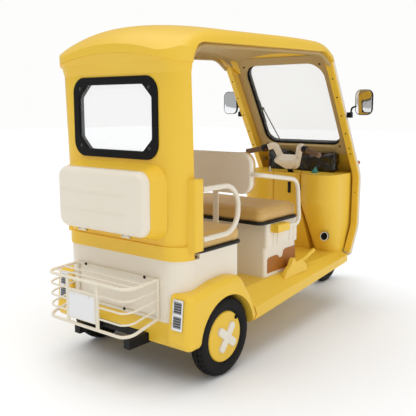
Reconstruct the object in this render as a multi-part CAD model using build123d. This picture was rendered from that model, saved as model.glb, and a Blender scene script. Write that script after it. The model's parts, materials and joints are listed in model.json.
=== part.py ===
from build123d import *
import os
from math import cos, hypot, radians, sin

# Electric tricycle with a roofed passenger cab. Millimetres, +Y forward, +X to the
# vehicle's right, +Z up. The origin is on the ground under the middle of the overall box.

# ---- driving dimensions -------------------------------------------------------------
SEAM = 0.3                      # gap between pieces that are fitted to each other

# wheels and stance
TYRE_RADIUS = 210               # 3.00-10 tyre, 420 mm over the tread
TYRE_WIDTH = 78
RIM_RADIUS = 134
HALF_TRACK = 443
WHEELBASE = 1940
REAR_AXLE_Y = -815
FRONT_AXLE_Y = REAR_AXLE_Y + WHEELBASE
ARCH_GAP = 15                   # tyre to wheel arch
BEARING_GAP = 0.05

# steering
STEER_RAKE = 33                 # degrees back from the vertical
STEER_TOP_Y = 591               # where the column leaves the dash
STEER_TOP_Z = 926
COLUMN_RADIUS = 18
FORK_LEG_X = 74
FORK_LEG_RADIUS = 14
FRONT_SPINDLE_RADIUS = 8
MUDGUARD_GAP = 18
MUDGUARD_WALL = 5
MUDGUARD_HALF_WIDTH = 48

# chassis
RAIL_X = 185
RAIL_WIDTH = 40
RAIL_HEIGHT = 50
STUB_REAR_Y = -1237
STUB_BOTTOM_Z = 200
STUB_HEIGHT = 54
AXLE_TUBE_RADIUS = 28
REAR_SPINDLE_RADIUS = 12

# floor
FLOOR_Z = 380
FLOOR_WALL = 20
FLOOR_REAR_Y = -634
FLOOR_FRONT_Y = 735
SILL_REAR_Y = -590
TOE_DECK = 60

# rear body and cab
BODY_REAR_Y = -1105
BODY_HALF_WIDTH = 430
BODY_CORNER = 115
BODY_WALL = 14
BODY_BOTTOM_Z = 330
SEAT_FRONT_Y = FLOOR_REAR_Y
CAB_BOTTOM_Z = 645
CAB_BAND_HEIGHT = 69
CAB_BAND_FLARE = 8
CAB_HALF_WIDTH_LOW = 420
CAB_HALF_WIDTH_HIGH = 450
CAB_WALL = 28
PILLAR_FRONT_Y = -1005
DOOR_CORNER_Y = -1035
REAR_SEAT_Z = 668

# roof
ROOF_CREST_Z = 1800
ROOF_REAR_Y = -1150
ROOF_WALL = 24
SEAM_MID_Z = 1640               # rear roof seam, middle
SEAM_EDGE_Z = 1580              # rear roof seam, at the corners
ROOF_HALF_WIDTH = 462
ROOF_CORNER = 160
DOOR_TOP_REAR_Z = 1680
DOOR_TOP_FRONT_Z = 1714

# windscreen and front structure
GLASS_TOP_Y = 470
GLASS_TOP_Z = 1674
GLASS_FOOT_Y = 789
GLASS_FOOT_Z = 1134
GLASS_TOP_CORNER = 100
GLASS_FOOT_CORNER = 75
GLASS_WALL = 5
SEAL_WIDTH = 12
LINER_BORDER = 22
NOSE_Y = 912
NOSE_KNEE_Z = 520
NOSE_FOOT_Y = 797
NOSE_FOOT_Z = 322
FRONT_HALF_WIDTH = 420
FRONT_FLAT_HALF_WIDTH = FRONT_HALF_WIDTH - 60
GLASS_HALF_WIDTH = FRONT_HALF_WIDTH - 117
FRONT_WRAP = 84                 # how far the pillars wrap back from the glass plane
FRONT_BEND = 44
FRONT_LIP = 44
FASCIA_WALL = 12
FRAME_WALL = 16
DASH_TOP_Z = 920
DASH_WALL = 10

# rear window
WINDOW_HALF_WIDTH = 299
WINDOW_FOOT_Z = 1129
WINDOW_TOP_Z = 1529
WINDOW_CORNER = 80
WINDOW_BORDER = 38

# storage box on the cab's back
STORE_HALF_WIDTH = 315
STORE_FOOT_Z = 766
STORE_TOP_Z = 1082
STORE_FACE_Y = -1190            # plane where lid and box meet
STORE_LID_DEPTH = 44
STORE_WALL = 9
STORE_CORNER = 60
LID_PIN_RADIUS = 6

# seats
CUSHION_HEIGHT = 92
REAR_CUSHION_HALF_WIDTH = 437
REAR_BACK_HALF_WIDTH = 312
REAR_CUSHION_FRONT_Y = -598
REAR_CUSHION_REAR_Y = -1020
FRONT_BASE_HALF_WIDTH = 364
FRONT_BASE_REAR_Y = -262
FRONT_BASE_FRONT_Y = 88
FRONT_SEAT_Z = 704
HINGE_RADIUS = 5
FRONT_HINGE_Y = FRONT_BASE_FRONT_Y + 12
FRONT_HINGE_Z = FRONT_SEAT_Z - 7
REAR_HINGE_Y = SEAT_FRONT_Y + 12
REAR_HINGE_Z = REAR_SEAT_Z - 7
HINGE_X = 180
HINGE_HALF_WIDTH = 20
HINGE_EAR = 4
FRONT_BASE_WALL = 10
BACKREST_HALF_WIDTH = 344
BACKREST_FOOT_Z = 890
BACKREST_TOP_Z = 1125
BACKREST_Y = -345

# rails and rack
GRAB_X = 460
GRAB_RADIUS = 13.5
ARMREST_X = FRONT_BASE_HALF_WIDTH + 36
RACK_HALF_WIDTH = 305
RACK_CORNER = 62
RACK_REAR_Y = -1335
RACK_TOP_Z = 535
RACK_FOOT_Z = 292
RACK_RIM_RADIUS = 8
RACK_ROD_RADIUS = 5


# ---- ways of making shapes ----------------------------------------------------------
def outline(points, radius=0):
    """Flat face from corner points; radius is one number or one for each corner."""
    if radius:
        return make_face(FilletPolyline(*points, radius=radius, close=True))
    return make_face(Polyline(*points, close=True))


def across(face, x0, x1):
    """A face drawn in Y and Z, filled from x0 to x1."""
    return extrude(Plane.YZ.offset(x0) * face, x1 - x0)


def along(face, y0, y1):
    """A face drawn in X and Z, filled from y0 to y1."""
    return extrude(Plane.XZ.offset(-y0) * face, y0 - y1)


def upward(face, z0, z1):
    """A face drawn in X and Y, filled from z0 to z1."""
    return extrude(Plane.XY.offset(z0) * face, z1 - z0)


def block(x0, x1, y0, y1, z0, z1):
    box = Box(x1 - x0, y1 - y0, z1 - z0)
    return Pos((x0 + x1) / 2, (y0 + y1) / 2, (z0 + z1) / 2) * box


def rod(points, radius, bends=0):
    """Round bar along straight runs, with its corners bent to the given radii."""
    path = FilletPolyline(*points, radius=bends) if bends else Line(*points)
    return sweep(Plane(path @ 0, z_dir=path % 0) * Circle(radius), path=path)


def both(shape):
    """The shape and its mirror image on the vehicle's left."""
    return shape + mirror(shape, Plane.YZ)


def rounded_box(half_width, foot, top, corner):
    """Face in X and Z, symmetric about the middle, with equal round corners."""
    face = Rectangle(2 * half_width, top - foot)
    return Pos(0, (foot + top) / 2) * fillet(face.vertices(), corner)


# ---- wheels -------------------------------------------------------------------------
def tyre(x, y):
    """Tyre as one solid ring with rounded shoulders, axis along X."""
    depth = TYRE_RADIUS - RIM_RADIUS
    face = Pos(x, y) * Pos(0, RIM_RADIUS + depth / 2) * Rectangle(TYRE_WIDTH, depth)
    crown = face.vertices().sort_by(Axis.Y)[2:]
    heel = face.vertices().sort_by(Axis.Y)[:2]
    face = fillet(crown, 32)
    face = fillet(face.vertices().sort_by(Axis.Y)[:2], 14)
    ring = revolve(face, Axis((x, y, 0), (1, 0, 0)))
    return Pos(0, 0, TYRE_RADIUS) * ring


BAR_LENGTH = 172
BAR_WIDTH = 44
BAR_DEPTH = 7
BAR_STAND = 0
BAR_LEAN = -38                  # the long diagonal leans forward at the top


def wheel(x, y, bore, hub_inner, outward):
    """Disc wheel with a domed cover and a crossed-bar boss on its outer face."""
    half = TYRE_WIDTH / 2
    rim = RIM_RADIUS - SEAM
    face_x = half - 12
    dome_x = half + 4
    # half section from the axle outwards, drawn with X outboard and Y as the radius
    profile = Polyline((hub_inner, 0), (hub_inner, 40), (-half + 14, 46), (-half + 14, rim - 14),
                       (-half + 8, rim), (face_x, rim), (face_x + 6, rim - 5))
    cover = ThreePointArc((face_x + 6, rim - 5), (dome_x - 3, rim * 0.55), (dome_x, 0))
    disc = revolve(make_face([*profile.edges(), cover, Line((dome_x, 0), (hub_inner, 0))]),
                   Axis.X)
    bar = extrude(SlotOverall(BAR_LENGTH, BAR_WIDTH), BAR_DEPTH, both=True)
    bar = Pos(dome_x + BAR_STAND, 0, 0) * Rot(0, 90, 0) * bar
    boss = Rot(BAR_LEAN, 0, 0) * bar + Rot(BAR_LEAN + 90, 0, 0) * bar
    disc = disc + boss
    hole = Pos(hub_inner, 0, 0) * Rot(0, 90, 0) * Cylinder(bore + BEARING_GAP, 2 * (half - 6 - hub_inner))
    disc = disc - hole
    if outward < 0:
        disc = mirror(disc, Plane.YZ)
    return Pos(x, y, TYRE_RADIUS) * disc


def hinge_knuckle(y, z):
    """Barrel of a lid's hinge on its axis, right side."""
    return Pos(HINGE_X, y, z) * Rot(0, 90, 0) * Cylinder(
        HINGE_RADIUS, 2 * (HINGE_HALF_WIDTH - HINGE_EAR / 2 - SEAM))


def hinge_ears(y, z, wall_y):
    """The two plates of a hinge that stand out from a wall, right side."""
    plate = Pos(0, y, z) * Rot(0, 90, 0) * Cylinder(HINGE_RADIUS + 1, HINGE_EAR)
    plate = plate + block(-HINGE_EAR / 2, HINGE_EAR / 2, wall_y - 2, y, z - HINGE_RADIUS, z + HINGE_RADIUS)
    return Pos(HINGE_X - HINGE_HALF_WIDTH, 0, 0) * plate + Pos(HINGE_X + HINGE_HALF_WIDTH, 0, 0) * plate


parts = {}
HUB_INNER = -TYRE_WIDTH / 2 - 4
for side, sign in (("left", -1), ("right", 1)):
    parts["rear_tyre_" + side] = tyre(sign * HALF_TRACK, REAR_AXLE_Y)
    parts["rear_wheel_" + side] = wheel(sign * HALF_TRACK, REAR_AXLE_Y, REAR_SPINDLE_RADIUS,
                                        HUB_INNER, sign)
parts["front_tyre"] = tyre(0, FRONT_AXLE_Y)


# front wheel: the same disc on both faces, on a through spindle
def front_wheel():
    half = TYRE_WIDTH / 2
    right = wheel(0, FRONT_AXLE_Y, FRONT_SPINDLE_RADIUS, -4, 1)
    keep = block(-1, 60, FRONT_AXLE_Y - 200, FRONT_AXLE_Y + 200, 0, 420)
    right = right & keep
    left = mirror(right, Plane.YZ)
    hub = Pos(0, FRONT_AXLE_Y, TYRE_RADIUS) * Rot(0, 90, 0) * Cylinder(30, 2 * (half + 8))
    bore = Pos(0, FRONT_AXLE_Y, TYRE_RADIUS) * Rot(0, 90, 0) * Cylinder(
        FRONT_SPINDLE_RADIUS + BEARING_GAP, 200)
    return (right + left + hub) - bore


parts["front_wheel"] = front_wheel()

# ---- steering -----------------------------------------------------------------------
# The steering axis leans back; STEER puts a shape's own Z along it, zero at the dash.
STEER = Pos(0, STEER_TOP_Y, STEER_TOP_Z) * Rot(STEER_RAKE, 0, 0)
rake = radians(STEER_RAKE)
down_y = FRONT_AXLE_Y - STEER_TOP_Y
down_z = STEER_TOP_Z - TYRE_RADIUS
axle_along = down_y * sin(rake) + down_z * cos(rake)       # dash to the wheel's foot on the axis
axle_ahead = down_y * cos(rake) - down_z * sin(rake)       # wheel centre ahead of the axis
MUDGUARD_RADIUS = TYRE_RADIUS + MUDGUARD_GAP
CROWN_UNDER = MUDGUARD_RADIUS + MUDGUARD_WALL + 14
CROWN_WALL = 26
crown_along = axle_along - CROWN_UNDER - CROWN_WALL / 2

COLUMN_TOP = 60
column = STEER * Pos(0, 0, -(crown_along - COLUMN_TOP) / 2) * Cylinder(
    COLUMN_RADIUS, crown_along + COLUMN_TOP)
crown = STEER * Pos(0, axle_ahead / 2, -crown_along) * Box(
    2 * (FORK_LEG_X + FORK_LEG_RADIUS), 2 * COLUMN_RADIUS + axle_ahead + 24, CROWN_WALL)
leg_length = CROWN_UNDER + CROWN_WALL / 2
leg = STEER * Pos(FORK_LEG_X, axle_ahead, -axle_along + leg_length / 2) * Cylinder(
    FORK_LEG_RADIUS, leg_length)
dropout = STEER * Pos(FORK_LEG_X, axle_ahead, -axle_along) * Rot(0, 90, 0) * Cylinder(
    22, 2 * FORK_LEG_RADIUS - 8)
spindle = STEER * Pos(0, axle_ahead, -axle_along) * Rot(0, 90, 0) * Cylinder(
    FRONT_SPINDLE_RADIUS, 2 * (FORK_LEG_X + 20))
parts["steering_fork"] = column + crown + both(leg + dropout) + spindle

# mudguard: an arched band over the tyre, hung under the fork crown between the legs
ring = Plane.YZ * (Circle(MUDGUARD_RADIUS + MUDGUARD_WALL) - Circle(MUDGUARD_RADIUS))
GUARD_REAR = 192                # degrees round from straight ahead, over the top
GUARD_FRONT = 47
GUARD_STEPS = 4
sector = [(0, 0)]
for step in range(GUARD_STEPS + 1):
    turn = radians(GUARD_REAR + (GUARD_FRONT - GUARD_REAR) * step / GUARD_STEPS)
    sector.append((2 * MUDGUARD_RADIUS * cos(turn), 2 * MUDGUARD_RADIUS * sin(turn)))
wedge = across(outline(sector), -MUDGUARD_HALF_WIDTH, MUDGUARD_HALF_WIDTH)
guard = extrude(ring, MUDGUARD_HALF_WIDTH, both=True) & wedge
guard = Pos(0, FRONT_AXLE_Y, TYRE_RADIUS) * guard
post_foot = axle_along - MUDGUARD_RADIUS - MUDGUARD_WALL / 2
post_top = crown_along + CROWN_WALL / 2 + SEAM
post = STEER * Pos(0, axle_ahead, -(post_foot + post_top) / 2) * Box(46, 30, post_foot - post_top)
parts["front_mudguard"] = guard + post

# handlebar: a deep U of moulded cover on the column, with a grip and switch on each end
BAR_RADIUS = 23
BAR_END = (146, 515, 1094)
BAR_TOP = (103, 544, 1112)
BAR_FOOT = (46, 592, 962)
GRIP_END = (298, 466, 1059)
GRIP_RADIUS = 16.5
SWITCH_RADIUS = 22
SWITCH_LENGTH = 30
BAR_WHOLE = [(-BAR_END[0], *BAR_END[1:]), (-BAR_TOP[0], *BAR_TOP[1:]), (-BAR_FOOT[0], *BAR_FOOT[1:]),
             BAR_FOOT, BAR_TOP, BAR_END]
bar = rod(BAR_WHOLE, BAR_RADIUS, [26, 34, 34, 26])
# the cover's middle is a broad bowl, which narrows to the column at its foot
# height along the column, half width, half depth and plan corner of each level
CUP_LEVELS = [(36, 37, 27, 20), (62, 60, 36, 26), (94, 94, 42, 30), (106, 96, 42, 30), (118, 70, 34, 26)]
CUP_FORWARD = 6
cup = STEER * loft([Pos(0, CUP_FORWARD, level) * RectangleRounded(2 * wide, 2 * deep, corner)
                    for level, wide, deep, corner in CUP_LEVELS], ruled=True)
socket = STEER * Pos(0, 0, COLUMN_TOP / 2) * Cylinder(COLUMN_RADIUS + SEAM, COLUMN_TOP + 2 * SEAM)
parts["handlebar_cover"] = (bar + cup) - socket
grips = None
for sign in (-1, 1):
    x0, y0, z0 = BAR_END
    x1, y1, z1 = GRIP_END
    run = hypot(x1 - x0, y1 - y0, z1 - z0)
    ux, uy, uz = ((x1 - x0) / run, (y1 - y0) / run, (z1 - z0) / run)
    start = (sign * (x0 + SEAM * ux), y0 + SEAM * uy, z0 + SEAM * uz)
    split = (sign * (x0 + SWITCH_LENGTH * ux), y0 + SWITCH_LENGTH * uy, z0 + SWITCH_LENGTH * uz)
    end = (sign * x1, y1, z1)
    piece = rod([start, split], SWITCH_RADIUS) + rod([split, end], GRIP_RADIUS)
    grips = piece if grips is None else grips + piece
parts["handlebar_grips"] = grips - parts["handlebar_cover"]

# ---- chassis ------------------------------------------------------------------------
RAIL_TOP = FLOOR_Z - FLOOR_WALL
RAIL_FOOT = RAIL_TOP - RAIL_HEIGHT
RAIL_REAR_Y = BODY_REAR_Y + 20
RAIL_FRONT_Y = FLOOR_FRONT_Y - 10
half_rail = RAIL_WIDTH / 2
rail = block(RAIL_X - half_rail, RAIL_X + half_rail, RAIL_REAR_Y, RAIL_FRONT_Y, RAIL_FOOT, RAIL_TOP)
drop = block(RAIL_X - half_rail, RAIL_X + half_rail, RAIL_REAR_Y, RAIL_REAR_Y + 45,
             STUB_BOTTOM_Z, RAIL_FOOT)
stub = block(RAIL_X - half_rail, RAIL_X + half_rail, STUB_REAR_Y, RAIL_REAR_Y,
             STUB_BOTTOM_Z, STUB_BOTTOM_Z + STUB_HEIGHT)
frame = both(rail + drop + stub)
for cross_y in (RAIL_REAR_Y + 20, -610, -300, 60, 420, RAIL_FRONT_Y - 20):
    frame = frame + block(-RAIL_X, RAIL_X, cross_y - 15, cross_y + 15, RAIL_FOOT, RAIL_TOP)
frame = frame + block(-RAIL_X, RAIL_X, RAIL_REAR_Y, RAIL_REAR_Y + 30, STUB_BOTTOM_Z,
                      STUB_BOTTOM_Z + STUB_HEIGHT)
HEAD_TOP = 330
HEAD_FOOT = crown_along - CROWN_WALL / 2 - 2
head = STEER * Pos(0, 0, -(HEAD_TOP + HEAD_FOOT) / 2) * Cylinder(COLUMN_RADIUS + 9,
                                                                 HEAD_FOOT - HEAD_TOP)
strut_along = (HEAD_TOP + HEAD_FOOT) / 2
strut_end = (0, STEER_TOP_Y + strut_along * sin(rake) - 4, STEER_TOP_Z - strut_along * cos(rake))
STRUT_RADIUS = 15
strut_line = [(RAIL_X - 10, RAIL_FRONT_Y - 20, RAIL_FOOT + 22), strut_end]
strut = rod(strut_line, STRUT_RADIUS)
head_bore = STEER * Pos(0, 0, -400) * Cylinder(COLUMN_RADIUS + BEARING_GAP, 900)
frame = frame + both(strut) + head
parts["chassis_frame"] = frame - head_bore

# rear axle: tube, gearbox and motor in one, spindles, and a leaf spring under each rail
SPRING_HALF = 205
SPRING_EYE_Z = RAIL_FOOT - 32
SPRING_SEAT_Z = TYRE_RADIUS + AXLE_TUBE_RADIUS
SPRING_WALL = 13
axle_at = Pos(0, REAR_AXLE_Y, TYRE_RADIUS)
tube_half = HALF_TRACK + HUB_INNER - 3
axle = axle_at * Rot(0, 90, 0) * Cylinder(AXLE_TUBE_RADIUS, 2 * tube_half)
motor = axle_at * Rot(0, 90, 0) * fillet(Cylinder(84, 150).edges(), 18)
motor = motor + axle_at * Pos(95, 0, 0) * Rot(0, 90, 0) * Cylinder(62, 70)
hub_end = HALF_TRACK + TYRE_WIDTH / 2 - 8
spindles = axle_at * Rot(0, 90, 0) * Cylinder(REAR_SPINDLE_RADIUS, 2 * hub_end)
plates = both(axle_at * Pos(tube_half - 6, 0, 0) * Rot(0, 90, 0) * Cylinder(70, 8))
arc = ThreePointArc((REAR_AXLE_Y - SPRING_HALF, SPRING_EYE_Z), (REAR_AXLE_Y, SPRING_SEAT_Z + 8),
                    (REAR_AXLE_Y + SPRING_HALF, SPRING_EYE_Z))
leaf = across(trace(arc, SPRING_WALL), RAIL_X - 22, RAIL_X + 22)
seat = block(RAIL_X - 30, RAIL_X + 30, REAR_AXLE_Y - 34, REAR_AXLE_Y + 34,
             TYRE_RADIUS, SPRING_SEAT_Z + 16)
eyes = None
for eye_y in (REAR_AXLE_Y - SPRING_HALF, REAR_AXLE_Y + SPRING_HALF):
    eye = Pos(RAIL_X, eye_y, SPRING_EYE_Z) * Rot(0, 90, 0) * Cylinder(15, 44)
    hanger = block(RAIL_X - 10, RAIL_X + 10, eye_y - 12, eye_y + 12, SPRING_EYE_Z, RAIL_FOOT)
    eyes = eye + hanger if eyes is None else eyes + eye + hanger
parts["rear_axle"] = axle + motor + spindles + plates + both(leaf + seat + eyes)

# battery: one plain block standing on the rails
parts["battery_pack"] = block(-215, 215, REAR_AXLE_Y - 105, REAR_AXLE_Y + 105, RAIL_TOP,
                              RAIL_TOP + 190)

# ---- floor --------------------------------------------------------------------------
def floor_section(y, flat_half, edge_half, edge_z, skirt):
    """Thin floor section: flat middle, ledge falling to the edge, and a skirt."""
    right = [(flat_half, FLOOR_Z), (edge_half, edge_z), (edge_half, edge_z - skirt),
             (edge_half - 18, edge_z - skirt), (edge_half - 18, edge_z - FLOOR_WALL),
             (flat_half - 8, FLOOR_Z - FLOOR_WALL)]
    left = [(-x, z) for x, z in reversed(right)]
    return Plane.XZ.offset(-y) * outline(right + left)


floor = loft([floor_section(SILL_REAR_Y, 372, 490, 302, 70),
              floor_section(FLOOR_FRONT_Y - TOE_DECK, 362, FRONT_HALF_WIDTH + 4, 358, 46)], ruled=True)
rear_deck = block(-350, 350, FLOOR_REAR_Y, SILL_REAR_Y, RAIL_TOP, FLOOR_Z)
toe_deck = block(-360, 360, FLOOR_FRONT_Y - TOE_DECK, FLOOR_FRONT_Y, RAIL_TOP, FLOOR_Z)
parts["floor_pan"] = (floor + rear_deck + toe_deck) - both(rod(strut_line, STRUT_RADIUS + SEAM))

# ---- rear fenders -------------------------------------------------------------------
ARCH_RADIUS = TYRE_RADIUS + ARCH_GAP
FENDER_INNER_X = 368
FENDER_OUTER_X = 500
FENDER_WALL = 12
APRON_GAP = 6
APRON_TOP_Z = BODY_BOTTOM_Z
APRON_FOOT_Z = STUB_BOTTOM_Z + STUB_HEIGHT + SEAM
FENDER_FOOT_Z = 208
FENDER_SIDE = [(-1137, FENDER_FOOT_Z), (-1111, 485), (-1030, 493), (-900, 521), (-790, 527),
               (-692, 512), (-600, 385), (-535, 254), (-580, 226)]
FENDER_BENDS = [46, 36, 80, 90, 90, 70, 120, 24, 20]
FENDER_EDGE = 40


def fender_shape(x0, x1):
    return across(outline(FENDER_SIDE, FENDER_BENDS), x0, x1)


well = Pos(0, REAR_AXLE_Y, TYRE_RADIUS) * Rot(0, 90, 0) * Cylinder(ARCH_RADIUS, 1200)
well_cover = Pos(0, REAR_AXLE_Y, TYRE_RADIUS) * Rot(0, 90, 0) * Cylinder(
    ARCH_RADIUS + FENDER_WALL, 1200)
side_face = outline(FENDER_SIDE, FENDER_BENDS)
shell = fillet(across(side_face, FENDER_INNER_X, FENDER_OUTER_X).faces().sort_by(Axis.X)[-1]
               .edges(), FENDER_EDGE)
core = across(offset(side_face, -FENDER_WALL), FENDER_INNER_X + FENDER_WALL,
              FENDER_OUTER_X - FENDER_WALL)
core = fillet(core.faces().sort_by(Axis.X)[-1].edges(), FENDER_EDGE - FENDER_WALL)
inner_wall = across(side_face, FENDER_INNER_X, FENDER_INNER_X + FENDER_WALL)
open_well = well & block(FENDER_INNER_X + FENDER_WALL, 900, -2000, 0, 0, 900)
kept_cover = well_cover & shell
fender = (shell - core + kept_cover + (inner_wall & shell)) - open_well
below_inner = well & block(FENDER_INNER_X - 10, FENDER_INNER_X + FENDER_WALL, -2000, 0, 0,
                           TYRE_RADIUS + 90)
fender = fender - below_inner
apron = block(-FENDER_INNER_X, FENDER_INNER_X, BODY_REAR_Y, BODY_REAR_Y + FENDER_WALL,
              APRON_FOOT_Z, APRON_TOP_Z)
apron = apron + both(block(RAIL_X + half_rail + APRON_GAP, FENDER_INNER_X, BODY_REAR_Y,
                           BODY_REAR_Y + FENDER_WALL, FENDER_FOOT_Z + APRON_GAP, APRON_FOOT_Z))
parts["rear_fenders"] = both(fender) + apron

# tail lamps: an upright lamp let into the back face of each fender
LAMP_X = 423
LAMP_HALF_WIDTH = 33
LAMP_MIDDLE_Z = 394
LAMP_HEIGHT = 152
LAMP_MIDDLE_Y = -1120           # the fender's back face at the lamp's middle
LAMP_LEAN = 5.4                 # degrees forward from the vertical
LAMP_STAND = 7
LAMP_DEPTH = 20
lamp_face = RectangleRounded(2 * LAMP_HALF_WIDTH, LAMP_HEIGHT, 8)
lamp_place = Pos(LAMP_X, LAMP_MIDDLE_Y, LAMP_MIDDLE_Z) * Rot(-LAMP_LEAN, 0, 0)
lamp = lamp_place * along(lamp_face, -LAMP_STAND, LAMP_DEPTH - LAMP_STAND)
lamp_hole = lamp_place * along(offset(lamp_face, SEAM), -50, LAMP_DEPTH + LAMP_STAND)
parts["tail_lamps"] = both(lamp)
parts["rear_fenders"] = parts["rear_fenders"] - both(lamp_hole)

# ---- rear body: the cream lower shell that carries the rear seat and the cab ----------
def body_plan(half_width, rear_y, front_y, rear_corner, front_corner):
    """Plan outline with large rear corners and small front ones."""
    points = [(-half_width, rear_y), (half_width, rear_y), (half_width, front_y),
              (-half_width, front_y)]
    return outline(points, [rear_corner, rear_corner, front_corner, front_corner])


body_outer = body_plan(BODY_HALF_WIDTH, BODY_REAR_Y, SEAT_FRONT_Y, BODY_CORNER, 24)
body_inner = body_plan(BODY_HALF_WIDTH - BODY_WALL, BODY_REAR_Y + BODY_WALL,
                       SEAT_FRONT_Y - BODY_WALL, BODY_CORNER - BODY_WALL, 24 - BODY_WALL)
CAB_STEP_Y = -965               # the seat deck steps up ahead of the cab's foot
bay = block(-240, 240, -945, -690, 0, 900)
body = upward(body_outer, BODY_BOTTOM_Z, REAR_SEAT_Z) - upward(
    body_inner, BODY_BOTTOM_Z - 10, REAR_SEAT_Z - BODY_WALL)
cab_room = block(-600, 600, -1300, CAB_STEP_Y, CAB_BOTTOM_Z, 900)
rear_shelf = upward(body_inner, CAB_BOTTOM_Z - BODY_WALL, CAB_BOTTOM_Z) & block(
    -600, 600, -1300, CAB_STEP_Y + BODY_WALL, 0, 900)
body = body - cab_room + rear_shelf
body = body - bay
fender_room = across(offset(side_face, SEAM), FENDER_INNER_X - SEAM, 700) + (
    Pos(0, REAR_AXLE_Y, TYRE_RADIUS) * Rot(0, 90, 0) * Cylinder(ARCH_RADIUS, 1400)
    & block(FENDER_INNER_X - SEAM, 800, -2000, 0, 0, 900))
body = body - both(fender_room)
parts["floor_pan"] = parts["floor_pan"] - both(fender_room)
sill_room = block(-700, 700, FLOOR_REAR_Y - SEAM, 0, 0, FLOOR_Z + SEAM)
apron_room = block(-FENDER_INNER_X, FENDER_INNER_X, BODY_REAR_Y - 1, BODY_REAR_Y + FENDER_WALL + SEAM,
                   0, APRON_TOP_Z + SEAM)
rail_room = block(-RAIL_X - half_rail - SEAM, RAIL_X + half_rail + SEAM, SEAT_FRONT_Y - BODY_WALL - 1,
                  0, 0, RAIL_TOP + SEAM)
body = body - sill_room - apron_room - rail_room
parts["rear_body"] = body + both(hinge_ears(REAR_HINGE_Y, REAR_HINGE_Z, SEAT_FRONT_Y))

# ---- cab: back wall, rear pillars and the flared band along its foot ----------------
def cab_loft(inset, low_half, high_half):
    """Rounded plan drawn at the foot and at the roof and joined."""
    foot_plan = body_plan(low_half - inset, BODY_REAR_Y + inset, PILLAR_FRONT_Y + 200,
                          BODY_CORNER - inset, 20)
    top_plan = body_plan(high_half - inset, BODY_REAR_Y - 4 + inset, PILLAR_FRONT_Y + 200,
                         BODY_CORNER - inset, 20)
    return loft([Plane.XY.offset(CAB_BOTTOM_Z) * foot_plan,
                 Plane.XY.offset(SEAM_MID_Z + 10) * top_plan], ruled=True)


cab = cab_loft(0, CAB_HALF_WIDTH_LOW, CAB_HALF_WIDTH_HIGH) - cab_loft(
    CAB_WALL, CAB_HALF_WIDTH_LOW, CAB_HALF_WIDTH_HIGH)
band_outer = body_plan(BODY_HALF_WIDTH + CAB_BAND_FLARE - 6, BODY_REAR_Y - CAB_BAND_FLARE,
                       PILLAR_FRONT_Y + 200, BODY_CORNER, 20)
band_inner = body_plan(CAB_HALF_WIDTH_LOW - 8, BODY_REAR_Y + 8, PILLAR_FRONT_Y + 200,
                       BODY_CORNER - 8, 20)
band = upward(band_outer, CAB_BOTTOM_Z, CAB_BOTTOM_Z + CAB_BAND_HEIGHT) - upward(
    band_inner, CAB_BOTTOM_Z - 1, CAB_BOTTOM_Z + CAB_BAND_HEIGHT + 1)
SIDE_BLOCK_TOP_Z = 1043
pillar_cut = across(outline([(PILLAR_FRONT_Y, CAB_BOTTOM_Z - 5), (PILLAR_FRONT_Y, SIDE_BLOCK_TOP_Z),
                             (DOOR_CORNER_Y, 1582), (DOOR_CORNER_Y, 1700), (0, 1700),
                             (0, CAB_BOTTOM_Z - 5)]), -700, 700)
band_front = block(-700, 700, CAB_STEP_Y - 2, 0, 0, 1800)
# under the roof's rear lip the back wall flares out to meet it
FLARE_FOOT_Z = 1538
FLARE_TOP_Z = SEAM_MID_Z + 10
FLARE_OUT = 44


def flare_plan(z, out):
    share = (z - CAB_BOTTOM_Z) / (FLARE_TOP_Z - CAB_BOTTOM_Z)
    half = CAB_HALF_WIDTH_LOW + share * (CAB_HALF_WIDTH_HIGH - CAB_HALF_WIDTH_LOW)
    return Plane.XY.offset(z) * body_plan(half + out * 0.6, BODY_REAR_Y - 4 * share - out, PILLAR_FRONT_Y + 200,
                                          BODY_CORNER + out, 20)


flare = loft([flare_plan(FLARE_FOOT_Z, 0), flare_plan((FLARE_FOOT_Z + FLARE_TOP_Z) / 2, FLARE_OUT * 0.4),
              flare_plan(FLARE_TOP_Z, FLARE_OUT)], ruled=True)
cab = cab + (flare - cab_loft(CAB_WALL, CAB_HALF_WIDTH_LOW, CAB_HALF_WIDTH_HIGH)) + band
cab = cab - pillar_cut - band_front
SIDE_BLOCK_OUT = 56
SIDE_BLOCK_REAR_Y = -1042
SIDE_BLOCK_FRONT_Y = -982
side_block = block(CAB_HALF_WIDTH_LOW - 20, CAB_HALF_WIDTH_LOW + SIDE_BLOCK_OUT,
                   SIDE_BLOCK_REAR_Y, SIDE_BLOCK_FRONT_Y, 690, SIDE_BLOCK_TOP_Z)
side_block = fillet(side_block.faces().sort_by(Axis.X)[-1].edges(), 16)
cab = cab + both(side_block)


def seam_arch(drop):
    """Everything below the curved rear seam of the roof, lowered by drop."""
    edge_z = SEAM_EDGE_Z - drop
    top = ThreePointArc((-ROOF_HALF_WIDTH, edge_z), (0, SEAM_MID_Z - drop), (ROOF_HALF_WIDTH, edge_z))
    wide = Polyline((ROOF_HALF_WIDTH, edge_z), (560, edge_z - 12), (560, 500),
                    (-560, 500), (-560, edge_z - 12), (-ROOF_HALF_WIDTH, edge_z))
    return make_face([top, *wide.edges()])


cab = cab & along(seam_arch(SEAM), -1300, -700)
window_face = rounded_box(WINDOW_HALF_WIDTH, WINDOW_FOOT_Z, WINDOW_TOP_Z, WINDOW_CORNER)
cab = cab - along(offset(window_face, SEAM), -1300, -1000)
parts["rear_cab"] = cab

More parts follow.
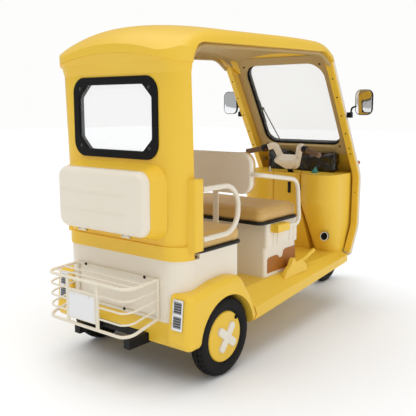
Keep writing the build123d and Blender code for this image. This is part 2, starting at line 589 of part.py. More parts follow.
# rear window: a broad black surround that widens at the corners, and its pane
PANE_CUT = 62
pane_half = WINDOW_HALF_WIDTH - WINDOW_BORDER
pane_foot = WINDOW_FOOT_Z + WINDOW_BORDER
pane_top = WINDOW_TOP_Z - WINDOW_BORDER
pane_points = [(-pane_half + PANE_CUT, pane_foot), (pane_half - PANE_CUT, pane_foot),
               (pane_half, pane_foot + PANE_CUT), (pane_half, pane_top - PANE_CUT),
               (pane_half - PANE_CUT, pane_top), (-pane_half + PANE_CUT, pane_top),
               (-pane_half, pane_top - PANE_CUT), (-pane_half, pane_foot + PANE_CUT)]
pane_face = outline(pane_points, 22)
surround = along(window_face, BODY_REAR_Y - 9, BODY_REAR_Y + CAB_WALL)
parts["rear_window_frame"] = surround - along(pane_face, -1300, -1000)
parts["rear_window_glass"] = along(offset(pane_face, -SEAM), BODY_REAR_Y + 6,
                                   BODY_REAR_Y + 6 + GLASS_WALL)

# rear seat back: a pad on a board against the cab's back wall
seat_back_y = BODY_REAR_Y + CAB_WALL + SEAM
pad = along(rounded_box(REAR_BACK_HALF_WIDTH, 792, 1100, 60), seat_back_y, seat_back_y + 52)
parts["rear_seat_back"] = fillet(pad.faces().sort_by(Axis.Y)[-1].edges(), 22)

# ---- roof ---------------------------------------------------------------------------
SCREEN = Plane(((0, (GLASS_TOP_Y + GLASS_FOOT_Y) / 2, (GLASS_TOP_Z + GLASS_FOOT_Z) / 2)),
               x_dir=(-1, 0, 0),
               z_dir=(0, GLASS_TOP_Z - GLASS_FOOT_Z, GLASS_FOOT_Y - GLASS_TOP_Y))
GLASS_HALF_HEIGHT = hypot(GLASS_TOP_Z - GLASS_FOOT_Z, GLASS_FOOT_Y - GLASS_TOP_Y) / 2

slope = (GLASS_FOOT_Y - GLASS_TOP_Y) / (GLASS_TOP_Z - GLASS_FOOT_Z)
HEADER_Z = 1742
header_y = GLASS_TOP_Y - (HEADER_Z - GLASS_TOP_Z) * slope
nose_top_z = GLASS_FOOT_Z - (NOSE_Y - GLASS_FOOT_Y) / slope
nose_path = Plane.YZ * FilletPolyline((header_y, HEADER_Z), (NOSE_Y, nose_top_z),
                                      (NOSE_Y - 6, NOSE_KNEE_Z), (NOSE_FOOT_Y, NOSE_FOOT_Z),
                                      radius=[230, 230])
NOSE_START = Plane((0, header_y, HEADER_Z), x_dir=(-1, 0, 0),
                   z_dir=(0, NOSE_Y - header_y, nose_top_z - HEADER_Z))


def front_run(out):
    """The front's section at a distance outside the frame's outer face, left to right."""
    wide = FRONT_HALF_WIDTH - FRONT_FLAT_HALF_WIDTH
    run = hypot(wide, FRONT_WRAP)
    nx = FRONT_WRAP / run
    ny = wide / run
    knee_x = FRONT_FLAT_HALF_WIDTH + out * nx / (1 + ny)
    end = (FRONT_HALF_WIDTH + out * nx, -FRONT_WRAP + out * ny)
    points = [(-end[0], end[1]), (-knee_x, out), (knee_x, out), end]
    return FilletPolyline(*points, radius=FRONT_BEND + out)


# station y, half width, height where the side turns over, height of the crown, and the
# radius of the turn
ROOF_STATIONS = [(ROOF_REAR_Y, ROOF_HALF_WIDTH, 1590, 1684, 60), (-1075, ROOF_HALF_WIDTH, 1654, 1750, 90),
                 (-960, ROOF_HALF_WIDTH, 1712, 1784, 96), (-700, ROOF_HALF_WIDTH, 1746, ROOF_CREST_Z - 3, 60),
                 (-250, 460, 1762, ROOF_CREST_Z, 50), (100, 454, 1766, ROOF_CREST_Z - 2, 50),
                 (250, 446, 1760, ROOF_CREST_Z - 8, 66), (350, 438, 1738, 1776, 86),
                 (430, FRONT_HALF_WIDTH + 14, 1702, 1746, 90), (500, FRONT_HALF_WIDTH + 14, 1656, 1702, 90)]


def roof_section(y, half_width, side_z, crown_z, foot_z, bend):
    top = ThreePointArc((-half_width, side_z), (0, crown_z), (half_width, side_z))
    base = Polyline((half_width, side_z), (half_width, foot_z), (-half_width, foot_z),
                    (-half_width, side_z))
    face = make_face([top, *base.edges()])
    shoulders = face.vertices().group_by(Axis.Y)[-1]
    return Plane.XZ.offset(-y) * fillet(shoulders, bend)


roof_plan = body_plan(ROOF_HALF_WIDTH, ROOF_REAR_Y, 700, ROOF_CORNER, 20)
roof_outer = loft([roof_section(y, w, s, c, 1500, bend) for y, w, s, c, bend in ROOF_STATIONS])
roof_outer = roof_outer & upward(roof_plan, 1400, 1900)
ROOF_RAIL = 62                  # width of the rolled edge along each side
ROOF_FRONT_WALL = 26
inner_stations = [(y, w - ROOF_RAIL, s - ROOF_WALL, c - ROOF_WALL) for y, w, s, c, bend in ROOF_STATIONS]
inner_stations[0] = (ROOF_REAR_Y + 64, ROOF_HALF_WIDTH - ROOF_RAIL - 56, 1656, 1704)
inner_stations = [inner_stations[0]] + inner_stations[2:]
roof_inner = loft([roof_section(y, w, s, c, 1480, 20) for y, w, s, c in inner_stations])


def behind_front(out):
    """Everything behind the front's wrapped face, moved out by a distance."""
    run = front_run(out)
    x, n = (run @ 1).X, (run @ 1).Y
    back = Polyline((x, n), (900, n), (900, -1500), (-900, -1500), (-900, n), (-x, n))
    return NOSE_START * extrude(make_face([*run.edges(), *back.edges()]), 900, both=True)


door_line = outline([(DOOR_CORNER_Y, 1300), (DOOR_CORNER_Y, DOOR_TOP_REAR_Z), (250, DOOR_TOP_FRONT_Z),
                     (408, 1642), (620, 1500), (620, 1300)], [1, 92, 130, 20, 1, 1])
below_door = across(door_line, -700, 700)
roof_end = behind_front(-FRAME_WALL - SEAM)
roof = roof_outer & roof_end
roof = roof - (roof_inner & behind_front(-FRAME_WALL - SEAM - ROOF_FRONT_WALL))
roof = roof - below_door - along(seam_arch(0), -1300, DOOR_CORNER_Y + 1)

# headliner under the roof shell, with a rolled rim along each side
LINER_WALL = 8
liner_outer = [(y, w - SEAM, s - SEAM, c - SEAM) for y, w, s, c in inner_stations]
liner_inner = [(y, w - LINER_WALL, s - LINER_WALL, c - LINER_WALL) for y, w, s, c in inner_stations]
liner = loft([roof_section(y, w, s, c, 1480, 19) for y, w, s, c in liner_outer]) - loft(
    [roof_section(y, w, s, c, 1470, 14) for y, w, s, c in liner_inner])
liner = liner & behind_front(-FRAME_WALL - ROOF_FRONT_WALL - 2 * SEAM)
liner = liner - below_door - block(-700, 700, -1300, DOOR_CORNER_Y + 4, 1000, 2000)

# ---- storage box on the cab's back --------------------------------------------------
def store_rim(grow, foot_grow=0):
    return rounded_box(STORE_HALF_WIDTH + grow, STORE_FOOT_Z - grow - foot_grow, STORE_TOP_Z + grow,
                       STORE_CORNER + grow)


STORE_FLARE = 30
flared = loft([Plane.XZ.offset(-STORE_FACE_Y) * store_rim(2),
               Plane.XZ.offset(-BODY_REAR_Y - 2) * store_rim(STORE_FLARE)], ruled=True)
cab_solid = cab_loft(-SEAM, CAB_HALF_WIDTH_LOW, CAB_HALF_WIDTH_HIGH)
band_solid = upward(offset(band_outer, SEAM), CAB_BOTTOM_Z, CAB_BOTTOM_Z + CAB_BAND_HEIGHT + SEAM)
store_room = along(store_rim(-STORE_WALL - 14), STORE_FACE_Y - 10, BODY_REAR_Y - 4)
PIN_Z = STORE_FOOT_Z - 9
PIN_Y = STORE_FACE_Y - 6
PIN_X = 160
EAR_GAP = 25
EAR_WALL = 4
ear = Pos(0, PIN_Y, PIN_Z) * Rot(0, 90, 0) * Cylinder(LID_PIN_RADIUS + 1, EAR_WALL)
ear = ear + block(-EAR_WALL / 2, EAR_WALL / 2, PIN_Y, STORE_FACE_Y + 14, PIN_Z - 7, PIN_Z + 4)
store = flared - store_room - cab_solid - band_solid
for pin_x in (-PIN_X, PIN_X):
    for step in (-1, 1):
        store = store + Pos(pin_x + step * EAR_GAP, 0, 0) * ear
parts["storage_box"] = store

LID_EDGE = 36
LID_FACE_Y = STORE_FACE_Y - SEAM
lid = along(store_rim(0), LID_FACE_Y - STORE_LID_DEPTH, LID_FACE_Y)
lid = fillet(lid.faces().sort_by(Axis.Y)[0].edges(), LID_EDGE)
lid_room = along(store_rim(-STORE_WALL), LID_FACE_Y - STORE_LID_DEPTH + STORE_WALL, LID_FACE_Y + 1)
lid_room = fillet(lid_room.faces().sort_by(Axis.Y)[0].edges(), LID_EDGE - STORE_WALL)
lid = lid - lid_room
RIB_Z = (965, 872)
for rib_z in RIB_Z:
    rib = Pos(-45, LID_FACE_Y - STORE_LID_DEPTH, rib_z) * Rot(0, 90, 0) * Cylinder(3, 470)
    lid = lid + rib
for pin_x in (-PIN_X, PIN_X):
    knuckle = Pos(pin_x, PIN_Y, PIN_Z) * Rot(0, 90, 0) * Cylinder(
        LID_PIN_RADIUS, 2 * (EAR_GAP - EAR_WALL / 2 - SEAM))
    arm = block(pin_x - 16, pin_x + 16, PIN_Y - 3, PIN_Y + 3, PIN_Z, STORE_FOOT_Z + 4)
    lid = lid + knuckle + arm
parts["storage_lid"] = lid

# ---- rails and seats ----------------------------------------------------------------
GRAB_TOP_Z = 990
GRAB_FOOT_Z = 745
GRAB_FRONT_Y = -688
grab_start = SIDE_BLOCK_FRONT_Y + SEAM
grab = rod([(GRAB_X, grab_start, GRAB_TOP_Z), (GRAB_X, GRAB_FRONT_Y, GRAB_TOP_Z),
            (GRAB_X, GRAB_FRONT_Y, GRAB_FOOT_Z), (GRAB_X, grab_start, GRAB_FOOT_Z)], GRAB_RADIUS, 112)
parts["grab_rails"] = both(grab)


def cushion(plan, foot_z, height, tray):
    """Seat pad on its tray: a crowned block with soft top edges."""
    base = upward(plan, foot_z, foot_z + tray)
    pad = upward(plan, foot_z + tray, foot_z + height)
    pad = fillet(pad.faces().sort_by(Axis.Z)[-1].edges(), 26)
    return base + pad


TRAY = 14
narrow_half = CAB_HALF_WIDTH_LOW - CAB_WALL - 8
step_y = SIDE_BLOCK_FRONT_Y + 8
rear_plan = outline([(-narrow_half, REAR_CUSHION_REAR_Y), (narrow_half, REAR_CUSHION_REAR_Y),
                     (narrow_half, step_y), (REAR_CUSHION_HALF_WIDTH, step_y),
                     (REAR_CUSHION_HALF_WIDTH, REAR_CUSHION_FRONT_Y),
                     (-REAR_CUSHION_HALF_WIDTH, REAR_CUSHION_FRONT_Y),
                     (-REAR_CUSHION_HALF_WIDTH, step_y), (-narrow_half, step_y)],
                    [12, 12, 4, 20, 50, 50, 20, 4])
rear_foot = REAR_SEAT_Z + SEAM
rear_arm = block(HINGE_X - 14, HINGE_X + 14, REAR_HINGE_Y - 4, REAR_HINGE_Y + 4, REAR_HINGE_Z,
                 rear_foot + 1)
parts["rear_seat_cushion"] = upward(rear_plan, rear_foot, rear_foot + CUSHION_HEIGHT) + both(
    rear_arm + hinge_knuckle(REAR_HINGE_Y, REAR_HINGE_Z))

front_half = FRONT_BASE_HALF_WIDTH + 8
FRONT_CUSHION_REAR_Y = -335
front_plan = outline([(-front_half, FRONT_CUSHION_REAR_Y), (front_half, FRONT_CUSHION_REAR_Y),
                      (front_half, FRONT_BASE_FRONT_Y + 4), (-front_half, FRONT_BASE_FRONT_Y + 4)], 46)
front_foot = FRONT_SEAT_Z + SEAM
front_arm = block(HINGE_X - 14, HINGE_X + 14, FRONT_HINGE_Y - 9, FRONT_HINGE_Y + 2, FRONT_HINGE_Z,
                  front_foot + 8)
parts["front_seat_cushion"] = cushion(front_plan, front_foot, CUSHION_HEIGHT + 4, TRAY) + both(
    front_arm + hinge_knuckle(FRONT_HINGE_Y, FRONT_HINGE_Z))

# front seat base: a ribbed box whose lower part is set back, open inside for tools
RECESS_TOP_Z = 560
RECESS_DEPTH = 14
base_upper = upward(body_plan(FRONT_BASE_HALF_WIDTH, FRONT_BASE_REAR_Y, FRONT_BASE_FRONT_Y, 20, 20),
                    RECESS_TOP_Z, FRONT_SEAT_Z)
low_half = FRONT_BASE_HALF_WIDTH - RECESS_DEPTH
base_lower = upward(body_plan(low_half, FRONT_BASE_REAR_Y, FRONT_BASE_FRONT_Y, 20, 20),
                    FLOOR_Z, RECESS_TOP_Z)
base_room = upward(body_plan(low_half - FRONT_BASE_WALL, FRONT_BASE_REAR_Y + FRONT_BASE_WALL,
                             FRONT_BASE_FRONT_Y - FRONT_BASE_WALL, 10, 10),
                   FLOOR_Z + FRONT_BASE_WALL, FRONT_SEAT_Z + 1)
base = base_upper + base_lower - base_room
for rib_y in (-196, -152, -15, 32):
    groove = block(FRONT_BASE_HALF_WIDTH - 4, FRONT_BASE_HALF_WIDTH + 4, rib_y - 4, rib_y + 4,
                   RECESS_TOP_Z + 6, FRONT_SEAT_Z - 40)
    base = base - both(groove)
parts["front_seat_base"] = base + both(hinge_ears(FRONT_HINGE_Y, FRONT_HINGE_Z, FRONT_BASE_FRONT_Y))

# armrests: a tube each side, from a cap on the base up, back and into the backrest's edge
BACK_SHELL = 30
ARM_RADIUS = 13
ARM_TENON_RADIUS = 8
ARM_TENON = 24
SHELL_REAR_Y = -408
arm_rear_y = SHELL_REAR_Y + BACK_SHELL / 2
ARM_REAR_Z = 1006
ARM_FOOT_Y = -95
ARM_CAP_LENGTH = 130
ARM_POINTS = [(ARMREST_X, ARM_FOOT_Y, 674), (ARMREST_X, 40, 674), (ARMREST_X, 12, 946),
              (ARMREST_X, arm_rear_y, ARM_REAR_Z),
              (BACKREST_HALF_WIDTH + SEAM, arm_rear_y, ARM_REAR_Z)]
tenon = Pos(BACKREST_HALF_WIDTH, arm_rear_y, ARM_REAR_Z) * Rot(0, 90, 0)
arm = rod(ARM_POINTS, ARM_RADIUS, [44, 84, 36]) + tenon * Cylinder(ARM_TENON_RADIUS, 2 * ARM_TENON)
parts["front_armrests"] = both(arm)
cap = block(FRONT_BASE_HALF_WIDTH + SEAM, ARMREST_X + 17, ARM_FOOT_Y - ARM_CAP_LENGTH, ARM_FOOT_Y - SEAM, 652, 700)
cap = fillet(cap.edges().filter_by(Axis.Y), 8)
parts["armrest_caps"] = both(cap)

# front backrest: a moulded shell on two posts, with a pad on its front
shell_y = SHELL_REAR_Y
back_face = rounded_box(BACKREST_HALF_WIDTH, BACKREST_FOOT_Z, BACKREST_TOP_Z, 70)
back_shell = along(back_face, shell_y, shell_y + BACK_SHELL)
back_shell = fillet(back_shell.faces().sort_by(Axis.Y)[0].edges(), 12)
back_shell = back_shell - both(tenon * Cylinder(ARM_TENON_RADIUS + SEAM, 2 * (ARM_TENON + SEAM)))
POST_X = 90
back_post = block(POST_X - 18, POST_X + 18, shell_y + 6, shell_y + 14, FRONT_SEAT_Z - 60,
                  BACKREST_FOOT_Z + 20)
foot_tie = block(POST_X - 18, POST_X + 18, shell_y + 6, FRONT_BASE_REAR_Y - SEAM, FRONT_SEAT_Z - 60,
                 FRONT_SEAT_Z - 50)
parts["front_seat_back"] = back_shell + both(back_post + foot_tie)
pad_y = shell_y + BACK_SHELL + SEAM
pad = along(offset(back_face, 10), pad_y, pad_y + 40)
parts["front_seat_pad"] = fillet(pad.faces().sort_by(Axis.Y)[-1].edges(), 18)

# ---- front structure ----------------------------------------------------------------
def front_band(outer, inner):
    """Skin between two distances, swept from the header down to the foot of the nose."""
    far = front_run(outer)
    near = front_run(inner)
    face = make_face([*far.edges(), Line(far @ 1, near @ 1), *near.edges(), Line(near @ 0, far @ 0)])
    return sweep(NOSE_START * face, path=nose_path)


# both skins stop at the level of the roof's outer surface
above_roof = block(-700, 700, 200, 560, 1600, 1900) - roof_outer
fascia = front_band(FASCIA_WALL, SEAM) - above_roof
frame_skin = front_band(0, -FRAME_WALL) - above_roof


def screen_face(grow):
    """Windscreen outline in the plane of the glass, grown by the given amount."""
    half = GLASS_HALF_WIDTH + grow
    high = GLASS_HALF_HEIGHT + grow
    points = [(-half, -high), (half, -high), (half, high), (-half, high)]
    foot = GLASS_FOOT_CORNER + grow
    top = GLASS_TOP_CORNER + grow
    return outline(points, [foot, foot, top, top])


def screen_slab(face, n0, n1):
    return Location(SCREEN) * Pos(0, 0, n0) * extrude(face, n1 - n0)


seal_hole = screen_slab(screen_face(SEAL_WIDTH + SEAM), -150, 60)
SEAL_STAND = 4
parts["windshield_seal"] = screen_slab(screen_face(SEAL_WIDTH), -FRAME_WALL - SEAL_STAND,
                                       FASCIA_WALL + SEAL_STAND) - screen_slab(
    screen_face(0), -60, 60)
parts["windshield_glass"] = screen_slab(screen_face(-SEAM), -GLASS_WALL - 2, -2)
liner_face = screen_face(SEAL_WIDTH + LINER_BORDER)
LINER_REACH_X = FRONT_FLAT_HALF_WIDTH + 9     # the plate spans between the wrapped sides
LINER_REACH = 56                # past the seal, above and below the glass
LINER_PLATE_N = -44
LINER_SHEET = 3
plate_high = GLASS_HALF_HEIGHT + SEAL_WIDTH + LINER_REACH
liner_plate = screen_slab(outline([(-LINER_REACH_X, -plate_high), (LINER_REACH_X, -plate_high),
                                   (LINER_REACH_X, plate_high), (-LINER_REACH_X, plate_high)],
                                  [34, 34, 90, 90]), LINER_PLATE_N - LINER_SHEET, LINER_PLATE_N)
liner_flange = screen_slab(screen_face(SEAL_WIDTH + SEAM + LINER_SHEET), LINER_PLATE_N, -SEAM)
parts["windshield_liner"] = (screen_slab(liner_face, -FRAME_WALL, -SEAM) + liner_plate + liner_flange) - seal_hole
plate_room = screen_slab(outline([(-LINER_REACH_X - 1, -plate_high - 1), (LINER_REACH_X + 1, -plate_high - 1),
                                  (LINER_REACH_X + 1, plate_high + 1), (-LINER_REACH_X - 1, plate_high + 1)]),
                         LINER_PLATE_N - LINER_SHEET - SEAM, LINER_PLATE_N + SEAM)

# the roof and the frame are both cut away round the windscreen and its liner
screen_room = screen_slab(offset(liner_face, SEAM), -150, 60)
parts["roof"] = roof - screen_room - plate_room
roof_clear = Pos(0, 0, -SEAM) * roof + Pos(0, SEAM, 0) * roof + Pos(0, SEAM, -SEAM) * roof
head_room = STEER * Pos(0, 0, -430) * Cylinder(COLUMN_RADIUS + 9 + 6, 360)
DASH_HALF_WIDTH = FRONT_HALF_WIDTH - 60
lower_gap = block(-DASH_HALF_WIDTH - SEAM, DASH_HALF_WIDTH + SEAM, 200, 1200, 0, DASH_TOP_Z - 22)
frame_skin = frame_skin - screen_room - lower_gap
# rear-facing lip of the frame along each side of the doorway
lip_run = [(FRONT_HALF_WIDTH, -FRONT_WRAP), (FRONT_HALF_WIDTH - 2, -FRONT_WRAP - 12),
           (FRONT_HALF_WIDTH - FRONT_LIP, -FRONT_WRAP - 14),
           (FRONT_HALF_WIDTH - FRONT_LIP, -FRONT_WRAP + 2), (FRONT_HALF_WIDTH - 16, -FRONT_WRAP + 8)]
lip_face = outline(lip_run)
lip = sweep(NOSE_START * lip_face, path=nose_path)
lip_room = sweep(NOSE_START * offset(lip_face, SEAM), path=nose_path)
parts["front_frame"] = (frame_skin + both(lip - roof_clear)) - plate_room - roof
parts["roof_liner"] = liner - both(lip_room) - screen_room - plate_room

# ---- dash and leg shield ------------------------------------------------------------
TUNNEL_HALF_WIDTH = 106
TUNNEL_Y = 540
SHIELD_Y = 655
TUNNEL_KNEE_Z = 700
TUNNEL_FOOT_HALF_WIDTH = 160
TUNNEL_FOOT_Y = 610
POCKET_STEP_Z = 722
# plan of each round-fronted pocket: near side, far side, rear, front and its two rear radii
POCKET_TOP = (96, 372, 484, 780, 122, 142)
POCKET_FOOT = (190, 364, 590, 740, 60, 90)


def tapered(low_plan, high_plan, z0, z1):
    return loft([Plane.XY.offset(z0) * low_plan, Plane.XY.offset(z1) * high_plan], ruled=True)


def tunnel_plan(half, rear_y, front_y):
    return outline([(-half, rear_y), (half, rear_y), (half, front_y), (-half, front_y)])


def pocket_plan(numbers, inset):
    near, far, rear_y, front_y, near_bend, far_bend = numbers
    return outline([(near + inset, rear_y + inset), (far - inset, rear_y + inset), (far - inset, front_y - inset),
                    (near + inset, front_y - inset)], [near_bend - inset, far_bend - inset, 4, 4])


def dash_shape(inset, foot_z, front_y):
    """Leg shield, flared centre tunnel and two round-fronted pockets as one block."""
    top_z = DASH_TOP_Z - inset
    half = DASH_HALF_WIDTH - inset
    shape = block(-half, half, SHIELD_Y + inset, front_y, foot_z, top_z)
    knee = tunnel_plan(TUNNEL_HALF_WIDTH - inset, TUNNEL_Y + inset, front_y)
    foot = tunnel_plan(TUNNEL_FOOT_HALF_WIDTH - inset, TUNNEL_FOOT_Y + inset, front_y)
    shape = shape + upward(knee, TUNNEL_KNEE_Z, top_z) + tapered(foot, knee, foot_z, TUNNEL_KNEE_Z)
    step_z = POCKET_STEP_Z + inset
    top_plan = pocket_plan(POCKET_TOP, inset)
    pocket = upward(top_plan, step_z, top_z) + tapered(pocket_plan(POCKET_FOOT, inset), top_plan, foot_z, step_z)
    return shape + both(pocket)


DASH_FRONT_Y = NOSE_Y - FRAME_WALL
dash = dash_shape(0, FLOOR_Z + SEAM, DASH_FRONT_Y) - dash_shape(DASH_WALL, FLOOR_Z - 5, 1200)
PILLAR_KEEP = 26
nose_back = across(outline([(200, 300), (NOSE_FOOT_Y - PILLAR_KEEP, 300),
                            (NOSE_Y - 6 - PILLAR_KEEP, NOSE_KNEE_Z), (NOSE_Y - PILLAR_KEEP, nose_top_z - 60),
                            (NOSE_Y - 75 - PILLAR_KEEP, DASH_TOP_Z + 80), (200, DASH_TOP_Z + 80)]),
                   -500, 500)
dash = dash & nose_back
dash = dash - STEER * Pos(0, 0, -60) * Cylinder(COLUMN_RADIUS + 8, 300)
parts["dash_panel"] = dash

# the fascia is closed round the head tube and open at the windscreen and the lamps
HEADLAMP_X = FRONT_HALF_WIDTH - 158
HEADLAMP_Z = 760
HEADLAMP_RADIUS = 72
INDICATOR_X = FRONT_HALF_WIDTH - 48
INDICATOR_Z = 985
INDICATOR_RADIUS = 17
lamp_spots = [(HEADLAMP_X, HEADLAMP_Z, HEADLAMP_RADIUS), (INDICATOR_X, INDICATOR_Z, INDICATOR_RADIUS)]
fascia = fascia - seal_hole - head_room
lamps = None
for lamp_x, lamp_z, lamp_radius in lamp_spots:
    face_y = NOSE_Y + FASCIA_WALL if lamp_x < FRONT_FLAT_HALF_WIDTH else NOSE_Y - 38
    back_y = face_y - FASCIA_WALL - 22
    barrel = Pos(lamp_x, (face_y + 8 + back_y) / 2, lamp_z) * Rot(90, 0, 0) * Cylinder(
        lamp_radius, face_y + 8 - back_y)
    barrel = fillet(barrel.faces().sort_by(Axis.Y)[-1].edges(), 7)
    hole = Pos(lamp_x, face_y, lamp_z) * Rot(90, 0, 0) * Cylinder(lamp_radius + SEAM, 200)
    fascia = fascia - both(hole)
    lamps = barrel if lamps is None else lamps + barrel
    frame_hole = Pos(lamp_x, face_y, lamp_z) * Rot(90, 0, 0) * Cylinder(lamp_radius + SEAM, 140)
    parts["front_frame"] = parts["front_frame"] - both(frame_hole)
parts["front_fascia"] = fascia
parts["front_lamps"] = both(lamps)

# instrument display on the dash, a long rounded box
DISPLAY_HALF_WIDTH = FRONT_HALF_WIDTH - 134
display_side = outline([(712, DASH_TOP_Z + SEAM), (806, DASH_TOP_Z + SEAM), (800, 1020), (760, 1042),
                        (722, 1008)], [14, 8, 20, 18, 20])
display = across(display_side, -DISPLAY_HALF_WIDTH, DISPLAY_HALF_WIDTH)
parts["instrument_display"] = fillet(display.faces().sort_by(Axis.X)[0].edges()
                                     + display.faces().sort_by(Axis.X)[-1].edges(), 8)

# ---- mirrors and wiper --------------------------------------------------------------
MIRROR = (FRONT_HALF_WIDTH + 112, 612, 1409)
MIRROR_HALF_WIDTH = 60
MIRROR_HALF_HEIGHT = 83
MIRROR_DEPTH = 26
LEFT_MIRROR_BACK = 30           # the left mirror is swung further back
STEM_RADIUS = 6
head_face = RectangleRounded(2 * MIRROR_HALF_WIDTH, 2 * MIRROR_HALF_HEIGHT, 40)
mirror_head = along(Pos(MIRROR[0], MIRROR[2]) * head_face, MIRROR[1], MIRROR[1] + MIRROR_DEPTH)
mirror_head = fillet(mirror_head.faces().sort_by(Axis.Y)[-1].edges(), 14)
stem_foot = (FRONT_HALF_WIDTH + 30, 596, 1332)
stem_knee = (FRONT_HALF_WIDTH + 34, 604, 1374)
stem = rod([stem_foot, stem_knee, (MIRROR[0] - 20, MIRROR[1] + 16, MIRROR[2] - 14)], STEM_RADIUS, 16)
foot_pad = Pos(FRONT_HALF_WIDTH + 24, 596, 1326) * Box(30, 30, 36)
right_mirror = (mirror_head + stem + foot_pad) - fascia - parts["front_frame"]
left_knee = (MIRROR[0] - 20, MIRROR[1] + 16 - LEFT_MIRROR_BACK, MIRROR[2] - 14)
left_stem = rod([stem_foot, stem_knee, left_knee], STEM_RADIUS, 12)
left_mirror = (Pos(0, -LEFT_MIRROR_BACK, 0) * mirror_head + left_stem + foot_pad) - fascia
parts["mirrors"] = right_mirror + mirror(left_mirror - parts["front_frame"], Plane.YZ)

wiper_frame = Location(SCREEN)
blade_n = -2 + SEAM
pivot = (GLASS_HALF_WIDTH - 75, -GLASS_HALF_HEIGHT - 32)
arm_tip = (GLASS_HALF_WIDTH - 6, -52)
blade = wiper_frame * Pos(arm_tip[0], arm_tip[1] - 20, blade_n + 5) * Box(8, 190, 10)
arm_low = wiper_frame * Pos(pivot[0], pivot[1], FASCIA_WALL + 8) * Cylinder(15, 16)
arm_path = Line((pivot[0], pivot[1], 22), (arm_tip[0], arm_tip[1], 22))
arm_bar = wiper_frame * sweep(Plane(arm_path @ 0, z_dir=arm_path % 0) * Circle(4), path=arm_path)
arm_hook = wiper_frame * Pos(arm_tip[0] - 2, arm_tip[1], 15) * Box(12, 16, 18)
parts["wiper"] = (blade + arm_bar + arm_hook + arm_low) - fascia - parts["windshield_seal"]

# ---- rack and plate -----------------------------------------------------------------
rim = RACK_RIM_RADIUS
rack_x = RACK_HALF_WIDTH - rim
rack_y = RACK_REAR_Y + rim
RACK_FRONT_Y = BODY_REAR_Y - rim - SEAM
RACK_FRONT_FOOT_Z = 345
top_loop = rod([(rack_x, RACK_FRONT_Y, RACK_TOP_Z + 8), (rack_x, rack_y, RACK_TOP_Z),
                (-rack_x, rack_y, RACK_TOP_Z), (-rack_x, RACK_FRONT_Y, RACK_TOP_Z + 8)], rim,
               RACK_CORNER)
foot_loop = rod([(rack_x, RACK_FRONT_Y, RACK_FRONT_FOOT_Z), (rack_x, rack_y, RACK_FOOT_Z + rim),
                 (-rack_x, rack_y, RACK_FOOT_Z + rim), (-rack_x, RACK_FRONT_Y, RACK_FRONT_FOOT_Z)],
                rim, RACK_CORNER)
upright = rod([(rack_x, RACK_FRONT_Y, RACK_FRONT_FOOT_Z), (rack_x, RACK_FRONT_Y, RACK_TOP_Z + 8)], rim)
rack = top_loop + foot_loop + both(upright)
rack = rack + both(Pos(rack_x, RACK_FRONT_Y, RACK_TOP_Z + 8) * Sphere(rim))
rack = rack + both(Pos(rack_x, RACK_FRONT_Y, RACK_FRONT_FOOT_Z) * Sphere(rim))
HOOPS = 3
for step in range(1, HOOPS + 1):
    share = step / (HOOPS + 1)
    back_z = RACK_TOP_Z + share * (RACK_FOOT_Z + rim - RACK_TOP_Z)
    front_z = RACK_TOP_Z + 8 + share * (RACK_FRONT_FOOT_Z - RACK_TOP_Z - 8)
    rack = rack + rod([(rack_x, RACK_FRONT_Y, front_z), (rack_x, rack_y + 3, back_z),
                       (-rack_x, rack_y + 3, back_z), (-rack_x, RACK_FRONT_Y, front_z)],
                      RACK_ROD_RADIUS, RACK_CORNER - 3)
for cross_y in (RACK_FRONT_Y, -1209, -1272):
    rise = 8 * (cross_y - rack_y) / (RACK_FRONT_Y - rack_y)
    rack = rack + rod([(-rack_x, cross_y, RACK_TOP_Z + rise), (rack_x, cross_y, RACK_TOP_Z + rise)],
                      RACK_ROD_RADIUS)
cross_low = rod([(-rack_x, RACK_FRONT_Y, RACK_FRONT_FOOT_Z), (rack_x, RACK_FRONT_Y, RACK_FRONT_FOOT_Z)],
                RACK_ROD_RADIUS)
PLATE_X = -18
PLATE_BAR_GAP = 110
for bar_x in (PLATE_X - PLATE_BAR_GAP, PLATE_X + PLATE_BAR_GAP):
    rack = rack + block(bar_x - 11, bar_x + 11, rack_y - 3, rack_y + 3, RACK_FOOT_Z + rim, RACK_TOP_Z)
rack = rack + cross_low
rack = rack + block(PLATE_X - PLATE_BAR_GAP, PLATE_X + PLATE_BAR_GAP, rack_y - 3, rack_y + 3, 466, 480)
RACK_SHIFT = -12                # the rack sits a little left of the middle
parts["cargo_rack"] = Pos(RACK_SHIFT, 0, 0) * rack
plate = Pos(PLATE_X + RACK_SHIFT, rack_y - 3 - SEAM - 1, 398) * Box(200, 2, 138)
parts["number_plate"] = plate

# ---- hand and foot levers -----------------------------------------------------------
LEVER_X = FRONT_BASE_HALF_WIDTH + 38
LEVER_HALF_WIDTH = 13
lever_side = outline([(-144, 353), (-138, 374), (-112, 402), (-72, 424), (-46, 462), (-28, 470),
                      (-14, 446), (4, 436), (46, 444), (92, 420), (118, 398), (132, 360)],
                     [2, 8, 14, 14, 8, 8, 8, 12, 16, 12, 10, 4])
bracket = across(lever_side, LEVER_X - LEVER_HALF_WIDTH, LEVER_X + LEVER_HALF_WIDTH)
lever_grip = rod([(LEVER_X, 24, 420), (LEVER_X, 130, 440), (LEVER_X, 232, 470)], 11, 60)
parts["handbrake_lever"] = (bracket + lever_grip) - parts["floor_pan"]
PEDAL_REACH = 50
PEDAL = (315, 540, 498)
pedal = rod([(PEDAL[0], PEDAL[1] + PEDAL_REACH, PEDAL[2] - 6), (PEDAL[0], PEDAL[1] + 4, PEDAL[2])], 12)
cap = Pos(*PEDAL) * Rot(77, 0, 0) * Cylinder(30, 14)
pedal = (pedal + cap) - parts["dash_panel"]
parts["brake_pedal"] = pedal.solids().sort_by(SortBy.VOLUME)[-1]

os.makedirs("parts", exist_ok=True)
for name, part in parts.items():
    export_step(part, "parts/" + name + ".step")
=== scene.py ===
import json
from math import atan2, cos, pi, radians, sin

import bmesh
import bpy
from mathutils import Matrix, Vector, noise


